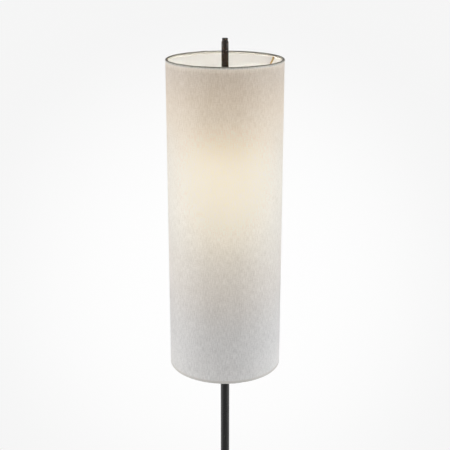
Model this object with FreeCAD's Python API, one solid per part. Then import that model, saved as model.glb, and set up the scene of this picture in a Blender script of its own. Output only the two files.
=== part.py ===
import FreeCAD, Part
import math
import os

# Column floor lamp: a tall cloth cylinder on a telescopic stem that stands on a weighted round base.
# Millimetres, +Z up. The origin is the centre of the foot, on the floor, and the front faces -Y.

# ---------------------------------------------------------------- whole lamp
LAMP_HEIGHT = 1500.0        # floor to the tip of the stem, with the stem pushed right in
TIP_ABOVE_SHADE = 34.4      # how far the tip stands out of the shade
STEM_TRAVEL = 170.0         # how far the rod pulls up out of the tube
ROD_GRIP = 130.0            # rod still inside the tube when it is pulled right up
RUNNING_FIT = 0.05          # radial clearance between pieces that turn or slide on each other
SEAT_GAP = 0.2              # clearance between the flat faces of pieces that move past each other

# --------------------------------------------------------------------- shade
SHADE_DIA = 200.0
SHADE_HEIGHT = 554.0        # over the two rolled hems
CLOTH_T = 0.55
LINER_T = 0.6
LINER_END_GAP = 2.5         # from a ring's centre to the end of the liner
RING_WIRE_DIA = 2.4
WRAP_GAP = 0.12             # between a ring and the cloth that is rolled round it
SPIDER_ARM_DIA = 3.0
SPIDER_ARM_COUNT = 2
SPIDER_AZIMUTH = 30.0       # degrees from +X towards the back
SPIDER_SLOPE = 1.9          # drop of an arm for each unit that it runs inwards
SPIDER_BEND_R = 14.0
HUB_DEPTH = 60.0            # shade top to the middle of the hub
HUB_DIA = 22.0
HUB_HEIGHT = 16.0
HUB_EDGE = 1.0
ARM_SOCKET = 2.5            # how deep an arm is set into the hub
STOP_DIA = 20.0
STOP_HEIGHT = 10.0

# ---------------------------------------------------------------------- stem
TUBE_DIA = 16.0
TUBE_WALL = 1.5
ROD_DIA = 12.0
ROD_WALL = 1.5
TIP_DIA = 10.0
TIP_LENGTH = 5.2
TIP_CHAMFER = 2.6           # height of the sloping shoulder under the tip
TIP_EDGE = 0.6
CAP_SHANK = 12.0
GUIDE_LENGTH = 10.0
GUIDE_SPIGOT = 12.0
ROD_HOLE_DIA = 5.0          # side holes where the leads leave the rod

# --------------------------------------------------------------- stem clamp
FERRULE_WALL = 2.0
FERRULE_GRIP = 16.0         # length of tube inside the ferrule
FERRULE_LIP = 3.0
CONE_HEIGHT = 7.0
CONE_ROOT_WALL = 1.1        # collet wall at its narrow end
CONE_TOP_WALL = 2.6
COLLET_PROUD = 1.5          # collet head above the ferrule
COLLET_SLOTS = 4
COLLET_SLOT_W = 1.0
NUT_WALL = 3.2
NUT_TOP_T = 3.0
NUT_EDGE = 0.8
NUT_FLUTES = 20
FLUTE_R = 1.3
NUT_HOLE_GAP = 0.3

# ---------------------------------------------------------------------- base
BASE_DIA = 280.0
BASE_T = 14.0
BASE_EDGE = 2.0             # bevel of the plate's upper edge
BASE_FOOT_CHAMFER = 1.0
FOOT_PROUD = 1.6            # gap under the plate, held open by the foot ring
FOOT_RING_DIA = 256.0
FOOT_RING_W = 10.0
FOOT_RING_T = 2.8
RECESS_DIA = 60.0
RECESS_DEPTH = 10.5
COVER_DIA = 76.0
COVER_T = 1.2
COVER_PLAY = 0.2
COVER_SCREWS = 3
COVER_SCREW_DIA = 3.0
COVER_SCREW_HEAD = 5.6
COVER_SCREW_LENGTH = 7.0
SCREW_SOCKET_RATIO = 0.45   # width of a screw's hexagon socket against its head
COLLAR_DIA = 46.0
COLLAR_FOOT_T = 3.0
COLLAR_NECK_DIA = 21.0
COLLAR_HEIGHT = 24.0
COLLAR_SWEEP_R = 9.0
COLLAR_EDGE = 1.0
COLLAR_FACETS = 3           # straight facets of the flare
COLLAR_FLOOR = 3.0          # metal under the foot of the tube
PLUG_LENGTH = 26.0
STUD_DIA = 10.0
STUD_BORE = 7.0
STUD_TAIL = 0.8             # stud below its nut
STUD_NUT_AF = 17.0
STUD_NUT_T = 3.5
WASHER_DIA = 22.0
WASHER_T = 1.2

# ------------------------------------------------------------- wiring in base
INLET_DIA = 7.0
INLET_Z = 6.2               # above the plate's underside
GLAND_HOLE = 5.4
GLAND_LENGTH = 16.0
GLAND_FLANGE_DIA = 10.0
GLAND_FLANGE_T = 1.6
GLAND_SUNK = 3.0            # flange face inside the plate's rim
TERMINAL_L = 18.0
TERMINAL_W = 9.0
TERMINAL_H = 5.4
TERMINAL_Y = 22.0
TERMINAL_WAYS = 2
TERMINAL_WAY_DIA = 3.2
BASE_LEAD_DIA = 2.6
BASE_LEAD_DROP = 3.9
BASE_LEAD_OUT = 3.5
BASE_LEAD_BEND = 3.0
LEAD_JOIN = 40.0            # above the base plate, where the coiled lead starts
COIL_DIA = 8.0
ROD_LEAD_DIA = 5.0
ROD_LEAD_TAIL = 4.0

# -------------------------------------------------------------- lamp holders
UPPER_ARM_DEPTH = 246.0     # shade top to the upper holder's arm
LOWER_ARM_DEPTH = 360.0
HOLDER_OFFSET = 42.0        # stem axis to holder axis
ARM_COLLAR_DIA = 22.0
ARM_COLLAR_H = 14.0
ARM_ROOT_DIA = 11.0
ARM_END_DIA = 9.0
ARM_BORE = 4.0
EYE_DIA = 18.0
EYE_H = 12.0
ARM_EDGE = 0.8
NIPPLE_DIA = 10.0
NIPPLE_BORE = 7.0
NIPPLE_INTO_CAP = 4.0
LOCK_NUT_AF = 14.0
LOCK_NUT_T = 4.0
SET_SCREW_DIA = 4.0
SET_SCREW_SUNK = 0.5
HOLDER_LEAD_DIA = 3.0
HOLDER_LEAD_BEND = 3.2
HOLDER_DIA = 38.0
HOLDER_WALL = 1.8
HOLDER_FOOT_DIA = 20.0
HOLDER_CAP_H = 20.0
HOLDER_DOME_H = 11.0
HOLDER_SKIRT_H = 30.0
HOLDER_LIP = 1.4
CORE_H = 8.0
CORE_HOLE = 4.0
CONTACT_DIA = 8.0
CONTACT_H = 3.6
SHELL_BORE = 27.0
SHELL_WALL = 0.6
SHELL_H = 25.0

# ------------------------------------------------------------------- lamps
LAMP_CAP_DIA = 26.4
LAMP_CAP_H = 25.0
LAMP_TIP_DIA = 11.0
LAMP_TIP_H = 3.0
LAMP_GAP = 0.2              # between the lamp's tip and the holder's contact
LAMP_LENGTH = 108.0
GLOBE_DIA = 60.0
GLOBE_WALL = 1.2
GLOBE_BELOW = 14.0          # globe below its own centre, where the neck starts
GLOBE_BANDS = 7
NECK_FOOT_DIA = 28.0
NECK_BULGE = 2.5

# ------------------------------------------------------------ derived heights
tube_r = TUBE_DIA / 2
tube_bore_r = tube_r - TUBE_WALL
rod_r = ROD_DIA / 2
rod_bore_r = rod_r - ROD_WALL

shade_top = LAMP_HEIGHT - TIP_ABOVE_SHADE
shade_bottom = shade_top - SHADE_HEIGHT
shade_r = SHADE_DIA / 2
wire_r = RING_WIRE_DIA / 2
roll_in_r = wire_r + WRAP_GAP
roll_r = roll_in_r + CLOTH_T
ring_r = shade_r - roll_r
ring_top_z = shade_top - roll_r
ring_bottom_z = shade_bottom + roll_r

hub_z = shade_top - HUB_DEPTH
hub_bottom = hub_z - HUB_HEIGHT / 2
stop_top = hub_bottom - SEAT_GAP
stop_bottom = stop_top - STOP_HEIGHT

arm_z = {"upper": shade_top - UPPER_ARM_DEPTH, "lower": shade_top - LOWER_ARM_DEPTH}
arm_side = {"upper": -1, "lower": 1}

clamp_top = arm_z["lower"] - ARM_COLLAR_H / 2 - SEAT_GAP
nut_inside = clamp_top - NUT_TOP_T
ferrule_top = nut_inside - SEAT_GAP - COLLET_PROUD
tube_top = ferrule_top - CONE_HEIGHT
ferrule_bottom = tube_top - FERRULE_GRIP
ferrule_r = tube_r + FERRULE_WALL
nut_r = ferrule_r + RUNNING_FIT + NUT_WALL

rod_bottom = tube_top - STEM_TRAVEL - ROD_GRIP
guide_bottom = rod_bottom - GUIDE_LENGTH
rod_top = LAMP_HEIGHT - TIP_LENGTH - TIP_CHAMFER

base_bottom = FOOT_PROUD
base_top = base_bottom + BASE_T
recess_roof = base_bottom + RECESS_DEPTH
cover_top = base_bottom + COVER_T
tube_bottom = base_top + COLLAR_FLOOR
washer_bottom = recess_roof - WASHER_T
stud_nut_bottom = washer_bottom - STUD_NUT_T
stud_bottom = stud_nut_bottom - STUD_TAIL
plug_top = tube_bottom + PLUG_LENGTH
coil_bottom = base_top + LEAD_JOIN
coil_top = guide_bottom - ROD_LEAD_TAIL


# -------------------------------------------------------------------- helpers
def vec(x=0.0, y=0.0, z=0.0):
    return FreeCAD.Vector(x, y, z)


UP = vec(z=1)


def disc(radius, low, high, x=0.0, y=0.0):
    """Upright cylinder between two heights."""
    return Part.makeCylinder(radius, high - low, vec(x, y, low))


def ring(outer, inner, low, high, x=0.0, y=0.0):
    """Upright tube between two heights."""
    return disc(outer, low, high, x, y).cut(disc(inner, low, high, x, y))


def turned_polygon(points):
    """Solid of revolution about Z from (radius, height) corners."""
    corners = [vec(radius, 0, height) for radius, height in points]
    face = Part.Face(Part.makePolygon(corners + corners[:1]))
    return face.revolve(vec(), UP, 360)


def on_circle(centre, radius, degrees):
    """(radius, height) point on a circle of a turned profile."""
    angle = math.radians(degrees)
    return (centre[0] + radius * math.cos(angle), centre[1] + radius * math.sin(angle))


def chords(centre, radius, start, end, count):
    """Points of an arc of a turned profile, drawn as straight chords between two angles."""
    step = (end - start) / count
    return [on_circle(centre, radius, start + step * i) for i in range(count + 1)]


def half_octagon(centre, flat_r, up):
    """Corners of an eight-sided half roll, from its outer side over its top, or under it where up is -1."""
    corner = flat_r * math.tan(math.pi / 8)
    x, z = centre
    return [
        (x + flat_r, z + up * corner),
        (x + corner, z + up * flat_r),
        (x - corner, z + up * flat_r),
        (x - flat_r, z + up * corner),
    ]


def hexagon(across_flats, low, high, x=0.0, y=0.0):
    """Upright hexagonal prism."""
    sides = 6
    corner_r = across_flats / 2 / math.cos(math.pi / sides)
    corners = []
    for i in range(sides):
        angle = 2 * math.pi * i / sides
        corners.append(vec(x + corner_r * math.cos(angle), y + corner_r * math.sin(angle), low))
    face = Part.Face(Part.makePolygon(corners + corners[:1]))
    return face.extrude(vec(z=high - low))


def around(shape, count, start=0.0):
    """Copies of a shape, evenly spaced about Z."""
    copies = []
    for i in range(count):
        copy = shape.copy()
        copy.rotate(vec(), UP, start + 360.0 * i / count)
        copies.append(copy)
    return copies


def bent_wire(points, bend_r, wire_dia):
    """Round wire along straight runs that are joined by tangent arcs of one radius."""
    edges = []
    start = points[0]
    for before, corner, after in zip(points, points[1:], points[2:]):
        back = (before - corner).normalize()
        ahead = (after - corner).normalize()
        half_turn = (math.pi - back.getAngle(ahead)) / 2
        reach = bend_r * math.tan(half_turn)
        arc_start = corner + back * reach
        arc_end = corner + ahead * reach
        bisector = (back + ahead).normalize()
        arc_middle = corner + bisector * (bend_r / math.cos(half_turn) - bend_r)
        edges.append(Part.LineSegment(start, arc_start).toShape())
        edges.append(Part.Arc(arc_start, arc_middle, arc_end).toShape())
        start = arc_end
    edges.append(Part.LineSegment(start, points[-1]).toShape())
    path = Part.Wire(edges)
    section = Part.Wire(Part.makeCircle(wire_dia / 2, points[0], points[1] - points[0]))
    return path.makePipeShell([section], True, True)


# ----------------------------------------------------------------------- base
def cover_screw_places():
    """Radius of the circle that the cover's screws stand on."""
    return (RECESS_DIA + COVER_DIA) / 4


def screw_sink(radius_place, head_dia, head_bottom, head_height):
    """Cone of a countersunk head with its wide face down."""
    return Part.makeCone(head_dia / 2, COVER_SCREW_DIA / 2, head_height, vec(radius_place, 0, head_bottom))


def base_plate():
    r = BASE_DIA / 2
    plate = turned_polygon([
        (0, base_bottom),
        (r - BASE_FOOT_CHAMFER, base_bottom),
        (r, base_bottom + BASE_FOOT_CHAMFER),
        (r, base_top - BASE_EDGE),
        (r - BASE_EDGE, base_top),
        (0, base_top),
    ])
    ring_r_out = FOOT_RING_DIA / 2
    groove = ring(ring_r_out, ring_r_out - FOOT_RING_W, base_bottom, FOOT_RING_T)
    recess = disc(RECESS_DIA / 2, base_bottom, recess_roof)
    cover_seat = disc(COVER_DIA / 2 + COVER_PLAY, base_bottom, cover_top)
    stud_hole = disc(STUD_DIA / 2, base_bottom, base_top)
    inlet_z = base_bottom + INLET_Z
    inlet = Part.makeCylinder(INLET_DIA / 2, r, vec(0, 0, inlet_z), vec(y=1))
    flange_seat_y = r - GLAND_SUNK - GLAND_FLANGE_T
    flange_seat = Part.makeCylinder(
        GLAND_FLANGE_DIA / 2, GLAND_SUNK + GLAND_FLANGE_T, vec(0, flange_seat_y, inlet_z), vec(y=1))
    screw_top = base_bottom + COVER_SCREW_LENGTH
    screw_hole = disc(COVER_SCREW_DIA / 2, base_bottom, screw_top, cover_screw_places())
    screw_holes = around(screw_hole, COVER_SCREWS)
    return plate.cut([groove, recess, cover_seat, stud_hole, inlet, flange_seat] + screw_holes)


def foot_ring():
    r = FOOT_RING_DIA / 2
    return ring(r, r - FOOT_RING_W, 0, FOOT_RING_T)


def recess_cover():
    plate = disc(COVER_DIA / 2, base_bottom, cover_top)
    sink = screw_sink(cover_screw_places(), COVER_SCREW_HEAD, base_bottom, COVER_T)
    return plate.cut(around(sink, COVER_SCREWS))


def cover_screws():
    place = cover_screw_places()
    head = screw_sink(place, COVER_SCREW_HEAD, base_bottom, COVER_T)
    shank = disc(COVER_SCREW_DIA / 2, cover_top, base_bottom + COVER_SCREW_LENGTH, place)
    socket = hexagon(COVER_SCREW_HEAD * SCREW_SOCKET_RATIO, base_bottom, cover_top, place)
    return Part.makeCompound(around(head.fuse(shank).cut(socket), COVER_SCREWS))


def cable_gland():
    flange_y = BASE_DIA / 2 - GLAND_SUNK - GLAND_FLANGE_T
    centre = vec(0, flange_y, base_bottom + INLET_Z)
    flange = Part.makeCylinder(GLAND_FLANGE_DIA / 2, GLAND_FLANGE_T, centre, vec(y=1))
    sleeve = Part.makeCylinder(INLET_DIA / 2, GLAND_LENGTH, centre, vec(y=-1))
    mouth = centre + vec(y=GLAND_FLANGE_T)
    hole = Part.makeCylinder(GLAND_HOLE / 2, GLAND_LENGTH + GLAND_FLANGE_T, mouth, vec(y=-1))
    return flange.fuse(sleeve).cut(hole).removeSplitter()


def terminal_block():
    low = recess_roof - TERMINAL_H
    corner = vec(-TERMINAL_L / 2, TERMINAL_Y - TERMINAL_W / 2, low)
    block = Part.makeBox(TERMINAL_L, TERMINAL_W, TERMINAL_H, corner)
    pitch = TERMINAL_L / TERMINAL_WAYS
    ways = []
    for i in range(TERMINAL_WAYS):
        x = (i + 0.5) * pitch - TERMINAL_L / 2
        mouth = vec(x, corner.y, low + TERMINAL_H / 2)
        way = Part.makeCylinder(TERMINAL_WAY_DIA / 2, TERMINAL_W, mouth, vec(y=1))
        screw_hole = disc(TERMINAL_WAY_DIA / 2, low, low + TERMINAL_H / 2, x, TERMINAL_Y)
        ways += [way, screw_hole]
    return block.cut(ways)


def base_lead():
    start_y = TERMINAL_Y - TERMINAL_W / 2
    start_z = recess_roof - TERMINAL_H / 2 - BASE_LEAD_DIA / 2
    low_z = start_z - BASE_LEAD_DROP
    points = [
        vec(0, start_y, start_z),
        vec(0, start_y - BASE_LEAD_OUT, start_z),
        vec(0, start_y - BASE_LEAD_OUT - BASE_LEAD_DROP, low_z),
        vec(0, 0, low_z),
        vec(0, 0, coil_bottom),
    ]
    return bent_wire(points, BASE_LEAD_BEND, BASE_LEAD_DIA)


def stem_stud():
    return ring(STUD_DIA / 2, STUD_BORE / 2, stud_bottom, plug_top)


def stud_washer():
    return ring(WASHER_DIA / 2, STUD_DIA / 2, washer_bottom, recess_roof)


def stud_nut():
    hole = disc(STUD_DIA / 2, stud_nut_bottom, washer_bottom)
    return hexagon(STUD_NUT_AF, stud_nut_bottom, washer_bottom).cut(hole)


def base_collar():
    """Collar that flares from the stem to its foot in straight facets."""
    foot_r = COLLAR_DIA / 2
    neck_r = COLLAR_NECK_DIA / 2
    foot_top = base_top + COLLAR_FOOT_T
    top = base_top + COLLAR_HEIGHT
    sweep = (neck_r + COLLAR_SWEEP_R, foot_top + COLLAR_SWEEP_R)
    body = turned_polygon([
        (0, base_top),
        (foot_r, base_top),
        (foot_r, foot_top - COLLAR_EDGE),
        (foot_r - COLLAR_EDGE, foot_top),
        *chords(sweep, COLLAR_SWEEP_R, 270, 180, COLLAR_FACETS),
        (neck_r, top - COLLAR_EDGE),
        (neck_r - COLLAR_EDGE, top),
        (0, top),
    ])
    return body.cut([disc(tube_r, tube_bottom, top), disc(STUD_DIA / 2, base_top, tube_bottom)])


def tube_plug():
    return ring(tube_bore_r, STUD_DIA / 2, tube_bottom, plug_top)


# ----------------------------------------------------------------- lower stem
def lower_tube():
    return ring(tube_r, tube_bore_r, tube_bottom, tube_top)


def coiled_lead():
    return disc(COIL_DIA / 2, coil_bottom, coil_top)


def clamp_ferrule():
    sleeve = turned_polygon([
        (tube_r, ferrule_bottom),
        (nut_r, ferrule_bottom),
        (nut_r, ferrule_bottom + FERRULE_LIP),
        (ferrule_r, ferrule_bottom + FERRULE_LIP),
        (ferrule_r, ferrule_top),
        (rod_r + CONE_TOP_WALL, ferrule_top),
        (rod_r + CONE_ROOT_WALL, tube_top),
        (tube_r, tube_top),
    ])
    return sleeve


def clamp_collet():
    bore_r = rod_r + RUNNING_FIT
    head_r = rod_r + CONE_TOP_WALL
    head_top = ferrule_top + COLLET_PROUD
    cone = turned_polygon([
        (bore_r, tube_top),
        (rod_r + CONE_ROOT_WALL, tube_top),
        (head_r, ferrule_top),
        (head_r, head_top),
        (bore_r, head_top),
    ])
    slot_floor = tube_top + COLLET_PROUD
    slot_depth = head_top - slot_floor
    slot = Part.makeBox(head_r, COLLET_SLOT_W, slot_depth, vec(0, -COLLET_SLOT_W / 2, slot_floor))
    return cone.cut(around(slot, COLLET_SLOTS, 360.0 / COLLET_SLOTS / 2))


def clamp_nut():
    low = ferrule_bottom + FERRULE_LIP + SEAT_GAP
    bore_r = ferrule_r + RUNNING_FIT
    hole_r = rod_r + NUT_HOLE_GAP
    nut = turned_polygon([
        (bore_r, low),
        (nut_r - NUT_EDGE, low),
        (nut_r, low + NUT_EDGE),
        (nut_r, clamp_top - NUT_EDGE),
        (nut_r - NUT_EDGE, clamp_top),
        (hole_r, clamp_top),
        (hole_r, nut_inside),
        (bore_r, nut_inside),
    ])
    flute_r_place = nut_r + FLUTE_R / 2
    flutes = around(disc(FLUTE_R, low, clamp_top, flute_r_place), NUT_FLUTES)
    return nut.cut(flutes)


# ----------------------------------------------------------------- upper stem
def lead_holes():
    """Side holes of the rod, one at each holder arm."""
    holes = []
    for level, z in arm_z.items():
        holes.append(Part.makeCylinder(ROD_HOLE_DIA / 2, rod_r, vec(0, 0, z), vec(y=arm_side[level])))
    return holes


def upper_rod():
    return ring(rod_r, rod_bore_r, rod_bottom, rod_top).cut(lead_holes())


def top_cap():
    tip_r = TIP_DIA / 2
    shank_low = rod_top - CAP_SHANK
    return turned_polygon([
        (0, shank_low),
        (rod_bore_r, shank_low),
        (rod_bore_r, rod_top),
        (rod_r, rod_top),
        (tip_r, rod_top + TIP_CHAMFER),
        (tip_r, LAMP_HEIGHT - TIP_EDGE),
        (tip_r - TIP_EDGE, LAMP_HEIGHT),
        (0, LAMP_HEIGHT),
    ])


def rod_guide():
    spigot_top = rod_bottom + GUIDE_SPIGOT
    bush = disc(tube_bore_r - RUNNING_FIT, guide_bottom, rod_bottom)
    spigot = disc(rod_bore_r, rod_bottom, spigot_top)
    lead_hole = disc(ROD_LEAD_DIA / 2, guide_bottom, spigot_top)
    return bush.fuse(spigot).cut(lead_hole).removeSplitter()


def rod_lead():
    return disc(ROD_LEAD_DIA / 2, coil_top, arm_z["upper"] + ROD_LEAD_DIA / 2)


def shade_stop():
    collar = ring(STOP_DIA / 2, rod_r, stop_bottom, stop_top)
    screw_hole = Part.makeCylinder(
        SET_SCREW_DIA / 2, STOP_DIA, vec(0, 0, (stop_bottom + stop_top) / 2), vec(y=1))
    return collar.cut(screw_hole)


def set_screw(collar_r, z, side):
    """Grub screw that runs from just inside a collar's rim to the rod."""
    start = vec(0, side * rod_r, z)
    length = collar_r - rod_r - SET_SCREW_SUNK
    screw = Part.makeCylinder(SET_SCREW_DIA / 2, length, start, vec(y=side))
    socket = hexagon(SET_SCREW_DIA / 2, 0, length / 2)
    socket.rotate(vec(), vec(x=1), -90 * side)
    socket.translate(vec(0, side * (rod_r + length / 2), z))
    return screw.cut(socket)


def set_screws():
    """The stop's screw, and one on the far side of each holder arm's collar."""
    screws = [set_screw(STOP_DIA / 2, (stop_bottom + stop_top) / 2, 1)]
    for level, z in arm_z.items():
        screws.append(set_screw(ARM_COLLAR_DIA / 2, z, -arm_side[level]))
    return Part.makeCompound(screws)


# --------------------------------------------------------------- lamp holders
def holder_foot(level):
    """Height of the seat that a holder stands on."""
    return arm_z[level] + EYE_H / 2


def holder_arm(level):
    z = arm_z[level]
    side = arm_side[level]
    y = side * HOLDER_OFFSET
    out = vec(y=side)
    collar = disc(ARM_COLLAR_DIA / 2, z - ARM_COLLAR_H / 2, z + ARM_COLLAR_H / 2)
    collar = collar.makeChamfer(ARM_EDGE, collar.Edges[::2])
    eye = disc(EYE_DIA / 2, z - EYE_H / 2, z + EYE_H / 2, 0, y)
    bar = Part.makeCone(ARM_ROOT_DIA / 2, ARM_END_DIA / 2, HOLDER_OFFSET, vec(0, 0, z), out)
    body = collar.fuse([eye, bar])
    rod_hole = disc(rod_r, z - ARM_COLLAR_H, z + ARM_COLLAR_H)
    nipple_hole = disc(NIPPLE_DIA / 2, z - EYE_H, z + EYE_H, 0, y)
    lead_bore = Part.makeCylinder(ARM_BORE / 2, HOLDER_OFFSET, vec(0, 0, z), out)
    screw_hole = Part.makeCylinder(SET_SCREW_DIA / 2, ARM_COLLAR_DIA, vec(0, 0, z), out * -1)
    return body.cut([rod_hole, nipple_hole, lead_bore, screw_hole])


def nipple_bottom(level):
    return arm_z[level] - EYE_H / 2 - LOCK_NUT_T


def nipples():
    """Hollow nipples, each with a side hole for its lead."""
    pieces = []
    for level, z in arm_z.items():
        y = arm_side[level] * HOLDER_OFFSET
        top = holder_foot(level) + HOLDER_WALL + NIPPLE_INTO_CAP
        pipe = ring(NIPPLE_DIA / 2, NIPPLE_BORE / 2, nipple_bottom(level), top, 0, y)
        side_hole = Part.makeCylinder(ARM_BORE / 2, HOLDER_OFFSET, vec(0, 0, z), vec(y=arm_side[level]))
        pieces.append(pipe.cut(side_hole))
    return Part.makeCompound(pieces)


def lock_nuts():
    pieces = []
    for level, z in arm_z.items():
        y = arm_side[level] * HOLDER_OFFSET
        high = z - EYE_H / 2
        nut = hexagon(LOCK_NUT_AF, nipple_bottom(level), high, 0, y)
        pieces.append(nut.cut(disc(NIPPLE_DIA / 2, nipple_bottom(level), high, 0, y)))
    return Part.makeCompound(pieces)


def holder_leads():
    """Leads that leave the rod, run out through the arms and turn up into the holders."""
    pieces = []
    for level, z in arm_z.items():
        side = arm_side[level]
        points = [
            vec(0, side * ROD_LEAD_DIA / 2, z),
            vec(0, side * HOLDER_OFFSET, z),
            vec(0, side * HOLDER_OFFSET, core_bottom(level)),
        ]
        pieces.append(bent_wire(points, HOLDER_LEAD_BEND, HOLDER_LEAD_DIA))
    return Part.makeCompound(pieces)


def cap_top(level):
    return holder_foot(level) + HOLDER_CAP_H


def core_bottom(level):
    return cap_top(level) - CORE_H


def holder_cap(level):
    """Cup-shaped foot of a holder, open at the top."""
    low = holder_foot(level)
    high = cap_top(level)
    foot_r = HOLDER_FOOT_DIA / 2
    out_r = HOLDER_DIA / 2
    in_r = out_r - HOLDER_WALL
    floor = low + HOLDER_WALL
    shoulder = low + HOLDER_DOME_H
    hole_r = NIPPLE_DIA / 2
    shape = turned_polygon([
        (hole_r, low), (foot_r, low), (out_r, shoulder), (out_r, high),
        (in_r, high), (in_r, shoulder), (foot_r - HOLDER_WALL, floor), (hole_r, floor),
    ])
    shape.translate(vec(y=arm_side[level] * HOLDER_OFFSET))
    return shape


def holder_core(level):
    """Insulating block in the cap, with the spring contact on top."""
    y = arm_side[level] * HOLDER_OFFSET
    block = disc(HOLDER_DIA / 2 - HOLDER_WALL, core_bottom(level), cap_top(level), 0, y)
    contact = disc(CONTACT_DIA / 2, cap_top(level), cap_top(level) + CONTACT_H, 0, y)
    lead_hole = disc(CORE_HOLE / 2, core_bottom(level), core_bottom(level) + CORE_H / 2, 0, y)
    return block.fuse(contact).cut(lead_hole)


def screw_shell(level):
    y = arm_side[level] * HOLDER_OFFSET
    bore_r = SHELL_BORE / 2
    return ring(bore_r + SHELL_WALL, bore_r, cap_top(level), cap_top(level) + SHELL_H, 0, y)


def holder_skirt(level):
    """Sleeve round the screw shell, with a bevelled lip at its mouth."""
    low = cap_top(level)
    high = low + HOLDER_SKIRT_H
    out_r = HOLDER_DIA / 2
    in_r = out_r - HOLDER_WALL
    mouth_r = in_r - HOLDER_LIP
    lip_low = high - HOLDER_LIP
    shape = turned_polygon([
        (in_r, low), (out_r, low), (out_r, lip_low), (out_r - HOLDER_LIP, high),
        (mouth_r, high), (mouth_r, lip_low), (in_r, lip_low),
    ])
    shape.translate(vec(y=arm_side[level] * HOLDER_OFFSET))
    return shape


# ---------------------------------------------------------------------- lamps
def lamp_bottom(level):
    return cap_top(level) + CONTACT_H + LAMP_GAP


def globe_centre(level):
    return lamp_bottom(level) + LAMP_LENGTH - GLOBE_DIA / 2


def lamp_cap(level):
    """Metal screw cap with its narrow contact at the bottom."""
    low = lamp_bottom(level)
    cap_r = LAMP_CAP_DIA / 2
    tip_r = LAMP_TIP_DIA / 2
    shape = turned_polygon([
        (0, low),
        (tip_r, low),
        (cap_r, low + LAMP_TIP_H),
        (cap_r, low + LAMP_CAP_H),
        (0, low + LAMP_CAP_H),
    ])
    shape.translate(vec(y=arm_side[level] * HOLDER_OFFSET))
    return shape


def neck_top_radius():
    return math.sqrt((GLOBE_DIA / 2) ** 2 - GLOBE_BELOW ** 2)


def lamp_neck(level):
    """Moulded neck that widens from the cap to the globe."""
    low = lamp_bottom(level) + LAMP_CAP_H
    high = globe_centre(level) - GLOBE_BELOW
    foot_r = NECK_FOOT_DIA / 2
    top_r = neck_top_radius()
    waist = ((foot_r + top_r) / 2 - NECK_BULGE, (low + high) / 2 + NECK_BULGE)
    shape = turned_polygon([(0, low), (foot_r, low), waist, (top_r, high), (0, high)])
    shape.translate(vec(y=arm_side[level] * HOLDER_OFFSET))
    return shape


def lamp_globe(level):
    """Opal dome, hollow, that stands on the neck."""
    centre = (0, globe_centre(level))
    out_r = GLOBE_DIA / 2
    in_r = out_r - GLOBE_WALL
    out_foot = -math.degrees(math.asin(GLOBE_BELOW / out_r))
    in_foot = -math.degrees(math.asin(GLOBE_BELOW / in_r))
    outside = chords(centre, out_r, out_foot, 90, GLOBE_BANDS)
    inside = chords(centre, in_r, 90, in_foot, GLOBE_BANDS)
    shape = turned_polygon(outside + inside)
    shape.translate(vec(y=arm_side[level] * HOLDER_OFFSET))
    return shape


# ---------------------------------------------------------------------- shade
def spider_hub():
    low = hub_bottom
    high = low + HUB_HEIGHT
    out_r = HUB_DIA / 2
    bore_r = rod_r + RUNNING_FIT
    body = turned_polygon([
        (bore_r, low),
        (out_r - HUB_EDGE, low),
        (out_r, low + HUB_EDGE),
        (out_r, high - HUB_EDGE),
        (out_r - HUB_EDGE, high),
        (bore_r, high),
    ])
    socket = Part.makeCylinder(SPIDER_ARM_DIA / 2, ARM_SOCKET, vec(out_r - ARM_SOCKET, 0, hub_z), vec(x=1))
    return body.cut(around(socket, SPIDER_ARM_COUNT, SPIDER_AZIMUTH))


def spider_arms():
    """Wires that leave the hub level and then climb steeply to the top ring."""
    drop = ring_top_z - hub_z
    bend = vec(ring_r - drop / SPIDER_SLOPE, 0, hub_z)
    inner = vec(HUB_DIA / 2 - ARM_SOCKET, 0, hub_z)
    ring_point = vec(ring_r, 0, ring_top_z)
    outer = ring_point - (ring_point - bend).normalize() * wire_r
    wire = bent_wire([inner, bend, outer], SPIDER_BEND_R, SPIDER_ARM_DIA)
    return Part.makeCompound(around(wire, SPIDER_ARM_COUNT, SPIDER_AZIMUTH))


def wire_ring(z):
    """Ring of wire, with its round section drawn eight-sided."""
    centre = (ring_r, z)
    return turned_polygon(half_octagon(centre, wire_r, 1) + half_octagon(centre, wire_r, -1)[::-1])


def top_ring():
    return wire_ring(ring_top_z)


def bottom_ring():
    return wire_ring(ring_bottom_z)


def shade_liner():
    out_r = shade_r - CLOTH_T
    return ring(out_r, out_r - LINER_T, ring_bottom_z + LINER_END_GAP, ring_top_z - LINER_END_GAP)


def shade_cloth():
    """Straight wall whose two ends are rolled over the rings to their inner side."""
    top = (ring_r, ring_top_z)
    low = (ring_r, ring_bottom_z)
    outer = half_octagon(low, roll_r, -1)[::-1] + half_octagon(top, roll_r, 1)
    inner = half_octagon(top, roll_in_r, 1)[::-1] + half_octagon(low, roll_in_r, -1)
    top_end = [(ring_r - roll_r, top[1]), (ring_r - roll_in_r, top[1])]
    low_end = [(ring_r - roll_in_r, low[1]), (ring_r - roll_r, low[1])]
    return turned_polygon(outer + top_end + inner + low_end)


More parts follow.
